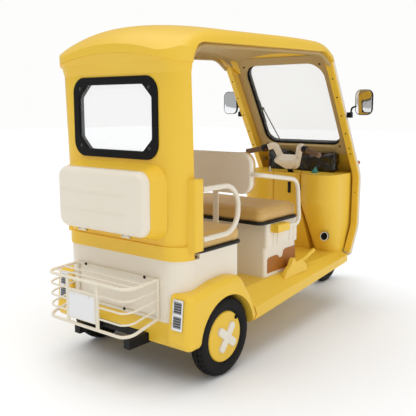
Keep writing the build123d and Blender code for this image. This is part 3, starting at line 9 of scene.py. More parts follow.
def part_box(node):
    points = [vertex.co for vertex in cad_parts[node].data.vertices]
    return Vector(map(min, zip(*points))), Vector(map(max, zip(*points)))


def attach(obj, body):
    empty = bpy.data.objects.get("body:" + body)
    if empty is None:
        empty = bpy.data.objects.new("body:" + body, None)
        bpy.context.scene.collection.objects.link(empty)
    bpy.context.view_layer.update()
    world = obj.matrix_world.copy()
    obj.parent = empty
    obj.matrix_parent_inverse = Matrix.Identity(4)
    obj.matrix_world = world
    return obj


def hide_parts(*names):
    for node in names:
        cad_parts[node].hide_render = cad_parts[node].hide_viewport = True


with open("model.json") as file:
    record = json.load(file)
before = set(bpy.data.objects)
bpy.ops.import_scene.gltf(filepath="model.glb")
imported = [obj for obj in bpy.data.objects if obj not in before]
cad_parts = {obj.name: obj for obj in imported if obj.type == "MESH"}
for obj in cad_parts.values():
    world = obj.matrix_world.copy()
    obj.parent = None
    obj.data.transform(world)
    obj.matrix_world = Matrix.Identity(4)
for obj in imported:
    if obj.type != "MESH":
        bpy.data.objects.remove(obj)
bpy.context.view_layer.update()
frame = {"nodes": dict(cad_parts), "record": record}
nodes = frame["nodes"]
record = frame["record"]


# ---- studio --------------------------------------------------------
# A pale seamless floor, white all-round light, one large soft key lamp behind and to the
# left of the vehicle and a weaker fill, as for a catalogue picture.

def linear(code):
    """An sRGB hex colour as linear red, green, blue and alpha."""
    parts = [int(code[i:i + 2], 16) / 255 for i in (1, 3, 5)]
    return [p / 12.92 if p <= 0.04045 else ((p + 0.055) / 1.055) ** 2.4 for p in parts] + [1.0]


def node(tree, kind, settings=None, sockets=None):
    """Adds a node, with its settings, and its sockets set to values or linked to outputs."""
    made = tree.nodes.new(kind)
    for name, value in (settings or {}).items():
        setattr(made, name, value)
    for name, value in (sockets or {}).items():
        if isinstance(value, bpy.types.NodeSocket):
            tree.links.new(value, made.inputs[name])
        else:
            made.inputs[name].default_value = value
    return made


def new_material(name):
    """An empty node material and its tree, with the output node ready."""
    material = bpy.data.materials.new(name)
    material.use_nodes = True
    tree = material.node_tree
    tree.nodes.clear()
    tree.nodes.new("ShaderNodeOutputMaterial")
    return material, tree


def surface(tree, shader):
    tree.links.new(shader.outputs[0], tree.nodes["Material Output"].inputs["Surface"])


def keep_mesh(name, shape, material):
    """Turns a bmesh into an object at the origin, smooth where its faces meet softly."""
    mesh = bpy.data.meshes.new(name)
    shape.to_mesh(mesh)
    shape.free()
    mesh.materials.append(material)
    mesh.shade_smooth()
    mesh.set_sharp_from_angle(angle=radians(38))
    piece = bpy.data.objects.new(name, mesh)
    bpy.context.scene.collection.objects.link(piece)
    return piece


FLOOR_SIZE = 60.0
# matt white paper: a grain so faint that only the shadows show on it
floor_paper, tree = new_material("studio_paper")
grain = node(tree, "ShaderNodeTexNoise", None, {"Scale": 3.0, "Detail": 2.0})
tone = node(tree, "ShaderNodeMixRGB", None, {
    "Fac": grain.outputs["Fac"], "Color1": linear("#FCFDFF"), "Color2": linear("#FEFFFF")})
surface(tree, node(tree, "ShaderNodeBsdfDiffuse", None, {"Color": tone.outputs["Color"]}))
shape = bmesh.new()
bmesh.ops.create_grid(shape, x_segments=1, y_segments=1, size=FLOOR_SIZE / 2)
floor = keep_mesh("studio_floor", shape, floor_paper)

world = bpy.data.worlds.new("studio_world")
bpy.context.scene.world = world
world.use_nodes = True
sky = world.node_tree
sky.nodes["Background"].inputs["Color"].default_value = linear("#FFFFFF")
sky.nodes["Background"].inputs["Strength"].default_value = 0.46
seen = node(sky, "ShaderNodeBackground", None, {"Color": linear("#FDFDFC"), "Strength": 1.0})
ray = node(sky, "ShaderNodeLightPath")
mixed = node(sky, "ShaderNodeMixShader", None, {
    0: ray.outputs["Is Camera Ray"], 1: sky.nodes["Background"].outputs[0], 2: seen.outputs[0]})
sky.links.new(mixed.outputs[0], sky.nodes["World Output"].inputs["Surface"])
bpy.context.scene.view_settings.view_transform = "Standard"


def soft_sun(name, towards, spread, strength):
    """A broad even light from far off, given by the way it shines."""
    lamp = bpy.data.lights.new(name, "SUN")
    lamp.angle = radians(spread)
    lamp.energy = strength
    holder = bpy.data.objects.new(name, lamp)
    holder.rotation_euler = Vector(towards).to_track_quat("-Z", "Y").to_euler()
    bpy.context.scene.collection.objects.link(holder)


soft_sun("top_light", (0.16, 0.10, -1.0), 70, 1.75)
soft_sun("right_light", (-1.0, 0.15, -0.42), 60, 0.6)

camera_data = bpy.data.cameras.new("camera")
camera_data.lens = 54.66
camera_data.sensor_width = 36.0
camera = bpy.data.objects.new("camera", camera_data)
HEADING, PITCH, ROLL_LEFT = 38.52, 9.146, -0.054
turn = (Matrix.Rotation(radians(HEADING), 4, "Z") @ Matrix.Rotation(radians(90 - PITCH), 4, "X")
        @ Matrix.Rotation(radians(ROLL_LEFT), 4, "Z"))
camera.matrix_world = Matrix.Translation((2.347, -3.307, 1.384)) @ turn
bpy.context.scene.collection.objects.link(camera)
bpy.context.scene.camera = camera


# ---- yellow shells -------------------------------------------------
# The cab, roof, fenders, floor, dash and doorway frame are vacuum-formed ABS sheet, dyed
# yellow and left glossy. They are screwed to the steel frame and to each other.

def dress(material, *names):
    """Gives CAD nodes their finish."""
    for name in names:
        nodes[name].data.materials.clear()
        nodes[name].data.materials.append(material)


def moulded(name, light, deep, roughness, coat, pebble_mm, bump_mm, shine=0.3):
    """Moulded plastic: slow drift of the dye, faint pebble, gloss that varies with handling."""
    material, tree = new_material(name)
    place = node(tree, "ShaderNodeTexCoord").outputs["Object"]
    drift = node(tree, "ShaderNodeTexNoise", None, {
        "Vector": place, "Scale": 1000 / 380, "Detail": 3.0, "Roughness": 0.45})
    tone = node(tree, "ShaderNodeMixRGB", None, {
        "Fac": drift.outputs["Fac"], "Color1": linear(light), "Color2": linear(deep)})
    haze = node(tree, "ShaderNodeTexNoise", None, {
        "Vector": place, "Scale": 1000 / 45, "Detail": 4.0, "Roughness": 0.6})
    gloss = node(tree, "ShaderNodeMapRange", None, {
        "Value": haze.outputs["Fac"], "To Min": roughness - 0.05, "To Max": roughness + 0.07})
    pebble = node(tree, "ShaderNodeTexNoise", None, {
        "Vector": place, "Scale": 1000 / pebble_mm, "Detail": 2.0})
    bump = node(tree, "ShaderNodeBump", None, {
        "Height": pebble.outputs["Fac"], "Strength": 0.25, "Distance": bump_mm / 1000})
    shader = node(tree, "ShaderNodeBsdfPrincipled", None, {
        "Base Color": tone.outputs["Color"], "Roughness": gloss.outputs["Result"],
        "Normal": bump.outputs["Normal"], "IOR": 1.5, "Specular IOR Level": shine,
        "Coat Weight": coat, "Coat Roughness": 0.12})
    surface(tree, shader)
    return material


# dyed ABS sheet: warm yellow, glossy, with the slight orange peel of a formed sheet
yellow_abs = moulded("yellow_formed_abs", "#F4CB46", "#EFC33C", 0.36, 0.06, 14, 0.25)
dress(yellow_abs, "roof", "rear_cab", "storage_box", "rear_fenders", "floor_pan", "front_frame",
      "dash_panel", "armrest_caps", "front_mudguard", "handbrake_lever", "rear_wheel_left",
      "rear_wheel_right", "front_wheel")


SCREEN_TILT = radians(30.57)
SCREEN_MIDDLE = Vector((0, 0.6295, 1.404))
INTO_CAB = (0, -0.861, -0.508)


def on_screen(side, up, out):
    """A point by its distances from the middle of the windscreen, in metres."""
    return Vector((side, SCREEN_MIDDLE.y - up * sin(SCREEN_TILT) + out * cos(SCREEN_TILT),
                   SCREEN_MIDDLE.z + up * cos(SCREEN_TILT) + out * sin(SCREEN_TILT)))


def studs(name, spots, radius, height, material, body="root"):
    """Low domed screw heads; each spot is a place and the way the head faces."""
    shape = bmesh.new()
    for place, facing in spots:
        turned = Vector(facing).to_track_quat("Z", "Y").to_matrix().to_4x4()
        head = bmesh.ops.create_uvsphere(shape, u_segments=10, v_segments=6, radius=1.0,
                                         matrix=Matrix.Translation(place) @ turned
                                         @ Matrix.Diagonal((radius, radius, height, 1)))
        bmesh.ops.recalc_face_normals(shape, faces=list({f for v in head["verts"] for f in v.link_faces}))
    piece = keep_mesh(name, shape, material)
    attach(piece, body)
    return piece


# blackened steel: small dark heads with a dull, uneven glint
screw_black, tree = new_material("blackened_screw_steel")
mottle = node(tree, "ShaderNodeTexNoise", None, {
    "Vector": node(tree, "ShaderNodeTexCoord").outputs["Object"], "Scale": 1000 / 4})
shade = node(tree, "ShaderNodeMapRange", None, {
    "Value": mottle.outputs["Fac"], "To Min": 0.35, "To Max": 0.55})
surface(tree, node(tree, "ShaderNodeBsdfPrincipled", None, {
    "Base Color": linear("#26231C"), "Metallic": 0.6, "Roughness": shade.outputs["Result"]}))

FLANGE_X = 0.398
FLANGE_BACK = -0.097
flange_spots = []
for side in (-1, 1):
    for up in (0.235, 0.10, -0.04, -0.18, -0.30, -0.345):
        flange_spots.append((on_screen(side * FLANGE_X, up, FLANGE_BACK), INTO_CAB))
    for height in (0.78, 0.64):
        flange_spots.append(((side * FLANGE_X, 0.815, height), (0, -1, 0)))
    flange_spots.append(((side * FLANGE_X, 0.765, 0.445), (0, -0.876, 0.482)))
studs("doorway_screws", flange_spots, 0.0055, 0.003, screw_black)

# ---- cream shells --------------------------------------------------
# The lower body, seat box, storage lid, nose and handlebar cover are the same ABS sheet in
# ivory. The lid is thicker and moulded with two ridges.

# dyed ABS sheet: the gloss of the yellow shells, in ivory that drifts a little warmer
ivory_abs = moulded("ivory_formed_abs", "#F1E9D9", "#ECE2CF", 0.40, 0.04, 14, 0.22)
dress(ivory_abs, "rear_body", "storage_lid", "front_seat_base", "front_fascia", "handlebar_cover",
      "front_seat_back")

# ---- coated tubes --------------------------------------------------
# Rack, grab rails and armrests are bent steel tube, welded and powder-coated off-white.

# powder coat: a fine grainy skin that dulls the light along each tube
powder_coat = moulded("ivory_powder_coat", "#EFE8D8", "#E7DDC8", 0.42, 0.0, 2.2, 0.12)
dress(powder_coat, "cargo_rack", "grab_rails", "front_armrests")

# ---- steel frame, axle and fork ------------------------------------
# Rails, axle, springs and fork are welded steel in satin black paint, dusty underneath.

# satin paint under road dust: broad soft highlights, brownish in patches
black_paint = moulded("black_chassis_paint", "#121213", "#1E1D1C", 0.5, 0.0, 4, 0.3, 0.2)
dress(black_paint, "chassis_frame", "rear_axle", "steering_fork", "battery_pack")

# ---- black rubber and plastic trim ---------------------------------
# Seals are extruded EPDM rubber, the window surround and wiper are moulded polypropylene.

# EPDM rubber: nearly black and matt, with a soft sheen on the bends
seal_rubber = moulded("black_epdm_rubber", "#0B0B0C", "#121213", 0.5, 0.0, 3, 0.15, 0.15)
dress(seal_rubber, "windshield_seal", "wiper", "rear_window_frame", "mirrors", "handlebar_grips",
      "brake_pedal", "instrument_display")

# ---- beige inner trim ----------------------------------------------
# The headliner and the panel round the windscreen are thin formed sheet in flat beige.

# formed polypropylene sheet: flat beige without gloss
beige_trim = moulded("beige_trim_sheet", "#C0A672", "#B49A66", 0.6, 0.0, 3, 0.2)
dress(beige_trim, "roof_liner", "windshield_liner")


# ---- roof rim ------------------------------------------------------
# The headliner is edged by a bent beige tube along each doorway, which covers the cut edge
# of the sheet and holds it up against the shell.

def swept(name, line, material):
    """Turns a bevelled curve into a smooth mesh object and drops the curve's own object."""
    holder = bpy.data.objects.new(name + "_line", line)
    bpy.context.scene.collection.objects.link(holder)
    bpy.context.view_layer.update()
    mesh = bpy.data.meshes.new_from_object(holder.evaluated_get(bpy.context.evaluated_depsgraph_get()))
    bpy.data.objects.remove(holder)
    mesh.materials.clear()
    mesh.materials.append(material)
    mesh.shade_smooth()
    mesh.name = name
    piece = bpy.data.objects.new(name, mesh)
    bpy.context.scene.collection.objects.link(piece)
    return piece


def bent_tube(name, points, radius, bend, material, sides=12):
    """A round tube through points, its corners rounded by the spline's own weight."""
    line = bpy.data.curves.new(name, "CURVE")
    line.dimensions = "3D"
    line.bevel_depth = radius
    line.bevel_resolution = sides // 4
    line.resolution_u = 10
    line.use_fill_caps = True
    spline = line.splines.new("NURBS")
    path = [Vector(points[0])]
    for before, corner, after in zip(points, points[1:], points[2:]):
        corner = Vector(corner)
        path += [corner + (Vector(before) - corner).normalized() * bend, corner,
                 corner + (Vector(after) - corner).normalized() * bend]
    path.append(Vector(points[-1]))
    spline.points.add(len(path) - 1)
    for point, place in zip(spline.points, path):
        point.co = (*place, 1.0)
    spline.order_u = 3
    spline.use_endpoint_u = True
    return swept(name, line, material)


RIM_X = 0.408
for side, word in ((-1, "left"), (1, "right")):
    rim = bent_tube("roof_rim_" + word, [
        (side * RIM_X, -1.005, 1.590), (side * RIM_X, -0.945, 1.672), (side * RIM_X, 0.250, 1.708),
        (side * RIM_X, 0.360, 1.640)], 0.011, 0.12, beige_trim)
    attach(rim, "root")

# ---- rear window ---------------------------------------------------
# A broad moulded surround, black polypropylene, screwed through at its four wide corners.

window_low, window_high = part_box("rear_window_frame")
WINDOW_CORNER_INSET = 0.055
spots = []
for x in (window_low.x + WINDOW_CORNER_INSET, window_high.x - WINDOW_CORNER_INSET):
    for z in (window_low.z + WINDOW_CORNER_INSET, window_high.z - WINDOW_CORNER_INSET):
        spots.append(((x, window_low.y, z), (0, -1, 0)))
# nylon plugs: dark grey, smoother than the surround
dark_nylon = moulded("dark_nylon_plug", "#2B2B2C", "#333334", 0.35, 0.2, 3, 0.1)
studs("window_screws", spots, 0.009, 0.004, dark_nylon)

# ---- storage lid fittings ------------------------------------------
# The ivory lid hangs on two hinges along its foot, each between two round plated ears, and
# a key slot with a black rubber flap sits in the box's upper face.

# bright plating: mirrors the studio through faint smears
chrome, tree = new_material("bright_chrome_plate")
place = node(tree, "ShaderNodeTexCoord").outputs["Object"]
smear = node(tree, "ShaderNodeTexNoise", None, {"Vector": place, "Scale": 1000 / 25, "Detail": 3.0})
shade = node(tree, "ShaderNodeMapRange", None, {
    "Value": smear.outputs["Fac"], "To Min": 0.10, "To Max": 0.24})
surface(tree, node(tree, "ShaderNodeBsdfPrincipled", None, {
    "Base Color": linear("#D9DADB"), "Metallic": 1.0, "Roughness": shade.outputs["Result"]}))


def fitted(name, shape, material, body="root"):
    """A finished piece in the given material, which rides a body."""
    piece = keep_mesh(name, shape, material)
    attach(piece, body)
    return piece


def bevelled_box(shape, low, high, edge, segments=3):
    """Adds a box with all its edges rounded to a bmesh."""
    low, high = Vector(low), Vector(high)
    size = high - low
    made = bmesh.ops.create_cube(shape, size=1.0, matrix=Matrix.Translation((low + high) / 2)
                                 @ Matrix.Diagonal((*size, 1)))
    edges = list({e for v in made["verts"] for e in v.link_edges})
    bmesh.ops.bevel(shape, geom=edges, offset=edge, offset_type="OFFSET", segments=segments,
                    profile=0.5, affect="EDGES", material=-1, clamp_overlap=True)


HINGE_X = 0.160
HINGE_EAR_REACH = 0.025
EAR_RADIUS = 0.0076
PIN_Y, PIN_Z = -1.196, 0.757
shape = bmesh.new()
for x in (-HINGE_X, HINGE_X):
    for reach in (-HINGE_EAR_REACH, HINGE_EAR_REACH):
        bmesh.ops.create_cone(shape, cap_ends=True, segments=28, radius1=EAR_RADIUS, radius2=EAR_RADIUS,
                              depth=0.007, matrix=Matrix.Translation((x + reach, PIN_Y, PIN_Z))
                              @ Matrix.Rotation(radians(90), 4, "Y"))
fitted("lid_hinge_knuckles", shape, chrome)

shape = bmesh.new()
bevelled_box(shape, (-0.094, -1.112, 1.086), (-0.058, -1.098, 1.093), 0.002, 2)
fitted("key_slot_flap", shape, seal_rubber)

# ---- tail lamps ----------------------------------------------------
# Each is an upright moulded lamp in a plated bezel: two smoked panels, one above the other,
# and five frosted bars across each.

dress(chrome, "tail_lamps")
# smoked polycarbonate: dark and glassy; frosted acrylic: pale bars that catch light
smoked_lens = moulded("smoked_polycarbonate", "#2A2B30", "#3A3B42", 0.12, 0.4, 3, 0.05)
frosted_lens = moulded("frosted_acrylic", "#8E9093", "#7C7E82", 0.25, 0.3, 3, 0.05)
lamp_low, lamp_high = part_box("tail_lamps")
LAMP_LEAN = 5.4
LAMP_HALF = 0.033
LENS_FACE = -0.0103
for side, word in ((-1, "left"), (1, "right")):
    middle = (lamp_low + lamp_high) / 2
    middle.x = side * (lamp_high.x - LAMP_HALF)
    place = Matrix.Translation(middle) @ Matrix.Rotation(radians(-LAMP_LEAN), 4, "X")
    shape = bmesh.new()
    rows = bmesh.new()
    for foot, top in ((-0.066, -0.005), (0.005, 0.066)):
        bevelled_box(shape, (-0.026, LENS_FACE, foot), (0.026, 0.0, top), 0.003)
        pitch = (top - foot) / 5
        for row in range(5):
            z = foot + pitch * (row + 0.5)
            bevelled_box(rows, (-0.022, LENS_FACE - 0.0020, z - pitch * 0.24), (0.022, 0.0, z + pitch * 0.24),
                         0.001, 2)
    shape.transform(place)
    rows.transform(place)
    fitted("tail_lens_" + word, shape, smoked_lens)
    fitted("tail_lens_bars_" + word, rows, frosted_lens)

# ---- windscreen ----------------------------------------------------
# Laminated glass in a black rubber seal. Inside it a beige panel is held by four screws.

# laminated glass: almost unseen, with a thin gloss at a slant
clear_glass, tree = new_material("clear_laminated_glass")
gloss = node(tree, "ShaderNodeBsdfPrincipled", None, {
    "Base Color": linear("#E9EEEE"), "Roughness": 0.03, "IOR": 1.5, "Alpha": 0.12})
surface(tree, gloss)
dress(clear_glass, "windshield_glass", "rear_window_glass")
spots = []
LINER_FACE = -0.0465
for x in (-0.300, 0.300):
    spots.append((on_screen(x, 0.318, LINER_FACE), INTO_CAB))
    spots.append((on_screen(x * 1.003, -0.318, LINER_FACE), INTO_CAB))
studs("liner_screws", spots, 0.008, 0.004, screw_black)

# ---- wheels --------------------------------------------------------
# Cross-ply tyres on pressed rims, which are hidden by domed yellow covers. A raised cross
# of two ivory bars is moulded on each cover, and the valve stands in a notch at the rim.

# tyre rubber: near-black under patches of dust, with a crumbly skin
tyre_rubber, tree = new_material("cross_ply_tyre_rubber")
place = node(tree, "ShaderNodeTexCoord").outputs["Object"]
dust = node(tree, "ShaderNodeTexNoise", None, {"Vector": place, "Scale": 1000 / 60, "Detail": 5.0})
tone = node(tree, "ShaderNodeMixRGB", None, {
    "Fac": dust.outputs["Fac"], "Color1": linear("#0C0C0D"), "Color2": linear("#1B1A19")})
crumb = node(tree, "ShaderNodeTexNoise", None, {"Vector": place, "Scale": 1000 / 2.5, "Detail": 3.0})
bump = node(tree, "ShaderNodeBump", None, {
    "Height": crumb.outputs["Fac"], "Strength": 0.3, "Distance": 0.0004})
surface(tree, node(tree, "ShaderNodeBsdfPrincipled", None, {
    "Base Color": tone.outputs["Color"], "Roughness": 0.66, "Normal": bump.outputs["Normal"],
    "Specular IOR Level": 0.2}))

TYRE_STEPS = 108
TREAD = [(-0.0385, 0.170), (-0.0375, 0.183), (-0.0340, 0.195), (-0.0270, 0.2035), (-0.0150, 0.2080),
         (-0.0125, 0.2085), (-0.0115, 0.2050), (-0.0085, 0.2050), (-0.0075, 0.2092), (0.0, 0.2099)]
SIDEWALL = [(-0.0240, 0.1345), (-0.0300, 0.1355), (-0.0330, 0.1400), (-0.0352, 0.1470),
            (-0.0366, 0.1480), (-0.0368, 0.1510), (-0.0358, 0.1520), (-0.0378, 0.1610)]


def spun(shape, profile, centre, steps, closed=True):
    """Turns a profile of (side, radius) points about the wheel's axle line."""
    verts = [shape.verts.new((centre[0] + x, centre[1], centre[2] + r)) for x, r in profile]
    edges = [shape.edges.new(pair) for pair in zip(verts, verts[1:])]
    if closed:
        edges.append(shape.edges.new((verts[-1], verts[0])))
    bmesh.ops.spin(shape, geom=verts + edges, cent=centre, axis=(1, 0, 0), angle=2 * pi,
                   steps=steps, use_merge=True)
    bmesh.ops.remove_doubles(shape, verts=shape.verts, dist=1e-6)


def make_tyre(name, centre, body, replaced):
    half = SIDEWALL + TREAD
    whole = half + [(-x, r) for x, r in reversed(half[:-1])]
    shape = bmesh.new()
    spun(shape, whole, centre, TYRE_STEPS)
    bmesh.ops.recalc_face_normals(shape, faces=shape.faces)
    axle = Vector(centre)
    blocks = []
    for face in shape.faces:
        offset = face.calc_center_median() - axle
        around = int(TYRE_STEPS * (pi + atan2(offset.z, offset.y)) / (2 * pi) + 0.5)
        reach = (offset.y ** 2 + offset.z ** 2) ** 0.5
        if reach > 0.1985 and 0.0130 < abs(offset.x) < 0.036 and around % 3 == (0 if offset.x > 0 else 1):
            blocks.append(face)
    bmesh.ops.inset_individual(shape, faces=blocks, thickness=0.0011, depth=-0.0028)
    piece = keep_mesh(name, shape, tyre_rubber)
    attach(piece, body)
    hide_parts(replaced)


def merge(shape, part):
    """Moves everything in one bmesh into another."""
    mesh = bpy.data.meshes.new("part")
    part.to_mesh(mesh)
    part.free()
    shape.from_mesh(mesh)
    bpy.data.meshes.remove(mesh)


rear_low, rear_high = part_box("rear_tyre_right")
HALF_TRACK = (rear_low.x + rear_high.x) / 2
REAR_AXLE = (rear_low.y + rear_high.y) / 2
TYRE_RADIUS = (rear_low.z + rear_high.z) / 2
front_low, front_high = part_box("front_tyre")
FRONT_AXLE = (front_low.y + front_high.y) / 2
make_tyre("rear_tyre_left_tread", (-HALF_TRACK, REAR_AXLE, TYRE_RADIUS), "left_wheel", "rear_tyre_left")
make_tyre("rear_tyre_right_tread", (HALF_TRACK, REAR_AXLE, TYRE_RADIUS), "right_wheel", "rear_tyre_right")
make_tyre("front_tyre_tread", (0.0, FRONT_AXLE, TYRE_RADIUS), "front_wheel", "front_tyre")


def soft_block(shape, low, high, corner, soft, along=2):
    """Adds a block rounded by corner round the along axis, and by soft at its two ends."""
    low, high = Vector(low), Vector(high)
    part = bmesh.new()
    bmesh.ops.create_cube(part, size=1.0, matrix=Matrix.Translation((low + high) / 2)
                          @ Matrix.Diagonal((*(high - low), 1)))
    upright = [e for e in part.edges if abs(e.verts[0].co[along] - e.verts[1].co[along]) > 1e-6]
    bmesh.ops.bevel(part, geom=upright, offset=corner, offset_type="OFFSET", segments=10,
                    profile=0.5, affect="EDGES", material=-1)
    rims = [e for e in part.edges if abs(e.verts[0].co[along] - e.verts[1].co[along]) < 1e-6]
    bmesh.ops.bevel(part, geom=rims, offset=soft, offset_type="OFFSET", segments=5,
                    profile=0.5, affect="EDGES", material=-1)
    merge(shape, part)


CROSS_LEAN = -38
BAR_TOP = 0.0535
VALVE_OUT, VALVE_AHEAD, VALVE_UP = 0.040, 0.088, 0.083
# polypropylene bars: smooth ivory, glossier than the formed sheet
cover_ivory = moulded("ivory_wheel_cross", "#EFE9DB", "#E9E2D2", 0.36, 0.15, 10, 0.15)
for x, y, body, word in ((-HALF_TRACK, REAR_AXLE, "left_wheel", "rear_left"),
                         (HALF_TRACK, REAR_AXLE, "right_wheel", "rear_right"),
                         (-0.001, FRONT_AXLE, "front_wheel", "front_left"),
                         (0.001, FRONT_AXLE, "front_wheel", "front_right")):
    outward = -1 if x < 0 else 1
    shape = bmesh.new()
    for lean, drop in ((CROSS_LEAN, 0), (CROSS_LEAN + 90, 0.0004)):
        bar = bmesh.new()
        soft_block(bar, (0.030, -0.0226, -0.0865), (BAR_TOP - drop, 0.0226, 0.0865), 0.0215, 0.0065, along=0)
        turn = Matrix.Rotation(radians(lean), 4, "X")
        bar.transform(Matrix.Translation((x, y, TYRE_RADIUS)) @ Matrix.Diagonal((outward, 1, 1, 1)) @ turn)
        merge(shape, bar)
    bmesh.ops.recalc_face_normals(shape, faces=shape.faces)
    fitted("wheel_cross_" + word, shape, cover_ivory, body)
    shape = bmesh.new()
    valve = Vector((x + outward * VALVE_OUT, y + VALVE_AHEAD, TYRE_RADIUS + VALVE_UP))
    bmesh.ops.create_cone(shape, cap_ends=True, segments=14, radius1=0.0050, radius2=0.0035, depth=0.020,
                          matrix=Matrix.Translation(valve) @ Matrix.Rotation(radians(90 * outward), 4, "Y"))
    bmesh.ops.create_cone(shape, cap_ends=True, segments=18, radius1=0.0115, radius2=0.0105, depth=0.004,
                          matrix=Matrix.Translation(valve - Vector((outward * 0.004, 0, 0)))
                          @ Matrix.Rotation(radians(90 * outward), 4, "Y"))
    fitted("valve_" + word, shape, seal_rubber, body)

# ---- cushions ------------------------------------------------------
# Foam on a black plastic tray, covered in tan artificial leather, which is stitched along
# the edges with a raised welt. The covers are pulled tight, so the pads crown a little.

# artificial leather: warm tan, slightly worn, with fine pores and shallow creases
tan_vinyl, tree = new_material("tan_vinyl_leather")
place = node(tree, "ShaderNodeTexCoord").outputs["Object"]
wear = node(tree, "ShaderNodeTexNoise", None, {"Vector": place, "Scale": 1000 / 160, "Detail": 4.0})
tone = node(tree, "ShaderNodeMixRGB", None, {
    "Fac": wear.outputs["Fac"], "Color1": linear("#DDB66E"), "Color2": linear("#D1A75B")})
pores = node(tree, "ShaderNodeTexVoronoi", {"feature": "DISTANCE_TO_EDGE"}, {
    "Vector": place, "Scale": 1000 / 3.2, "Randomness": 0.9})
creases = node(tree, "ShaderNodeTexNoise", None, {"Vector": place, "Scale": 1000 / 40, "Detail": 6.0})
relief = node(tree, "ShaderNodeMath", {"operation": "MULTIPLY_ADD"}, {
    0: creases.outputs["Fac"], 1: 0.8, 2: pores.outputs["Distance"]})
bump = node(tree, "ShaderNodeBump", None, {
    "Height": relief.outputs["Value"], "Strength": 0.3, "Distance": 0.0005})
shade = node(tree, "ShaderNodeMapRange", None, {
    "Value": creases.outputs["Fac"], "To Min": 0.38, "To Max": 0.54})
surface(tree, node(tree, "ShaderNodeBsdfPrincipled", None, {
    "Base Color": tone.outputs["Color"], "Roughness": shade.outputs["Result"],
    "Normal": bump.outputs["Normal"], "Sheen Weight": 0.15, "Sheen Roughness": 0.4}))


def stuffed(name, shape, floor_axis, floor_at, floor_sign, cap, body):
    """Blows a rough pad up under pressure, keeps its resting face flat and smooths it."""
    piece = keep_mesh(name, shape, tan_vinyl)
    bpy.context.view_layer.objects.active = piece
    mould = piece.modifiers.new("even_skin", "REMESH")
    mould.mode = "VOXEL"
    mould.voxel_size = 0.006
    view = bpy.context.evaluated_depsgraph_get()
    skin = bpy.data.meshes.new_from_object(piece.evaluated_get(view))
    piece.modifiers.clear()
    piece.data = skin
    start = [v.co.copy() for v in skin.vertices]
    cloth = piece.modifiers.new("stuffing", "CLOTH")
    cloth.settings.use_pressure = True
    cloth.settings.uniform_pressure_force = 4.0
    cloth.settings.effector_weights.gravity = 0.0
    cloth.settings.quality = 4
    for step in range(1, 21):
        bpy.context.scene.frame_set(step)
    blown = bpy.data.meshes.new_from_object(piece.evaluated_get(bpy.context.evaluated_depsgraph_get()))
    piece.modifiers.clear()
    piece.data = blown
    for vert, place in zip(blown.vertices, start):
        move = vert.co - place
        if move.length > cap:
            move = move.normalized() * cap
        vert.co = place + move
        if (vert.co[floor_axis] - floor_at) * floor_sign < 0:
            vert.co[floor_axis] = floor_at
    bpy.context.scene.frame_set(1)
    blown.materials.clear()
    blown.materials.append(tan_vinyl)
    blown.shade_smooth()
    smoother = piece.modifiers.new("soft_cover", "SUBSURF")
    smoother.levels = 1
    smoother.render_levels = 1
    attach(piece, body)
    return piece


def welt(name, pad, points, radius, lift, material, body):
    """Piping: a closed cord laid on the pad's surface along the nearest points to a loop."""
    loop = bpy.data.curves.new(name, "CURVE")
    loop.dimensions = "3D"
    loop.bevel_depth = radius
    loop.bevel_resolution = 2
    spline = loop.splines.new("POLY")
    spline.points.add(len(points) - 1)
    spline.use_cyclic_u = True
    for point, place in zip(spline.points, points):
        spot, normal = pad.closest_point_on_mesh(place)[1:3]
        point.co = (*(spot + normal * lift), 1.0)
    piece = swept(name, loop, material)
    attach(piece, body)


def rounded_loop(low, high, corner, level, along=2, steps=12, gap=0.02):
    """Points round a rectangle with rounded corners, on a plane across the along axis."""
    u, v = [axis for axis in range(3) if axis != along]
    loop = []
    for cu, cv, start in ((high[u] - corner, high[v] - corner, 0), (low[u] + corner, high[v] - corner, 90),
                          (low[u] + corner, low[v] + corner, 180), (high[u] - corner, low[v] + corner, 270)):
        for step in range(steps + 1):
            angle = radians(start + 90 * step / steps)
            point = [0.0, 0.0, 0.0]
            point[u] = cu + corner * cos(angle)
            point[v] = cv + corner * sin(angle)
            point[along] = level
            loop.append(Vector(point))
    full = []
    for here, ahead in zip(loop, loop[1:] + loop[:1]):
        parts = max(1, int((ahead - here).length / gap))
        full += [here.lerp(ahead, part / parts) for part in range(parts)]
    return full


# polypropylene tray: a dull black line under each cushion
tray_black = moulded("black_tray_polypropylene", "#141415", "#1B1B1C", 0.42, 0.0, 4, 0.15)

hinges = {joint["name"]: Vector(joint["pos_m"]) for joint in record["behaviour"]["joints"]}
TRAY_HEIGHT = 0.014
SWELL = 0.004
front_hinge = hinges["front_seat_hinge"]
FRONT_SEAT_FOOT = front_hinge.z + 0.0073
front_low, front_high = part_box("front_seat_cushion")
front_low.z = FRONT_SEAT_FOOT + TRAY_HEIGHT
front_high.y = front_hinge.y - 0.008
shape = bmesh.new()
soft_block(shape, front_low + Vector((SWELL, SWELL, 0)), front_high - Vector((SWELL, SWELL, SWELL + 0.004)),
           0.044, 0.020)
front_pad = stuffed("front_seat_pad_cover", shape, 2, front_low.z, 1, 0.010, "front_seat_lid")
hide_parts("front_seat_cushion")
welt("front_seat_welt", front_pad, rounded_loop(front_low, front_high, 0.046, front_high.z - 0.026), 0.0028,
     0.0004, tan_vinyl, "front_seat_lid")

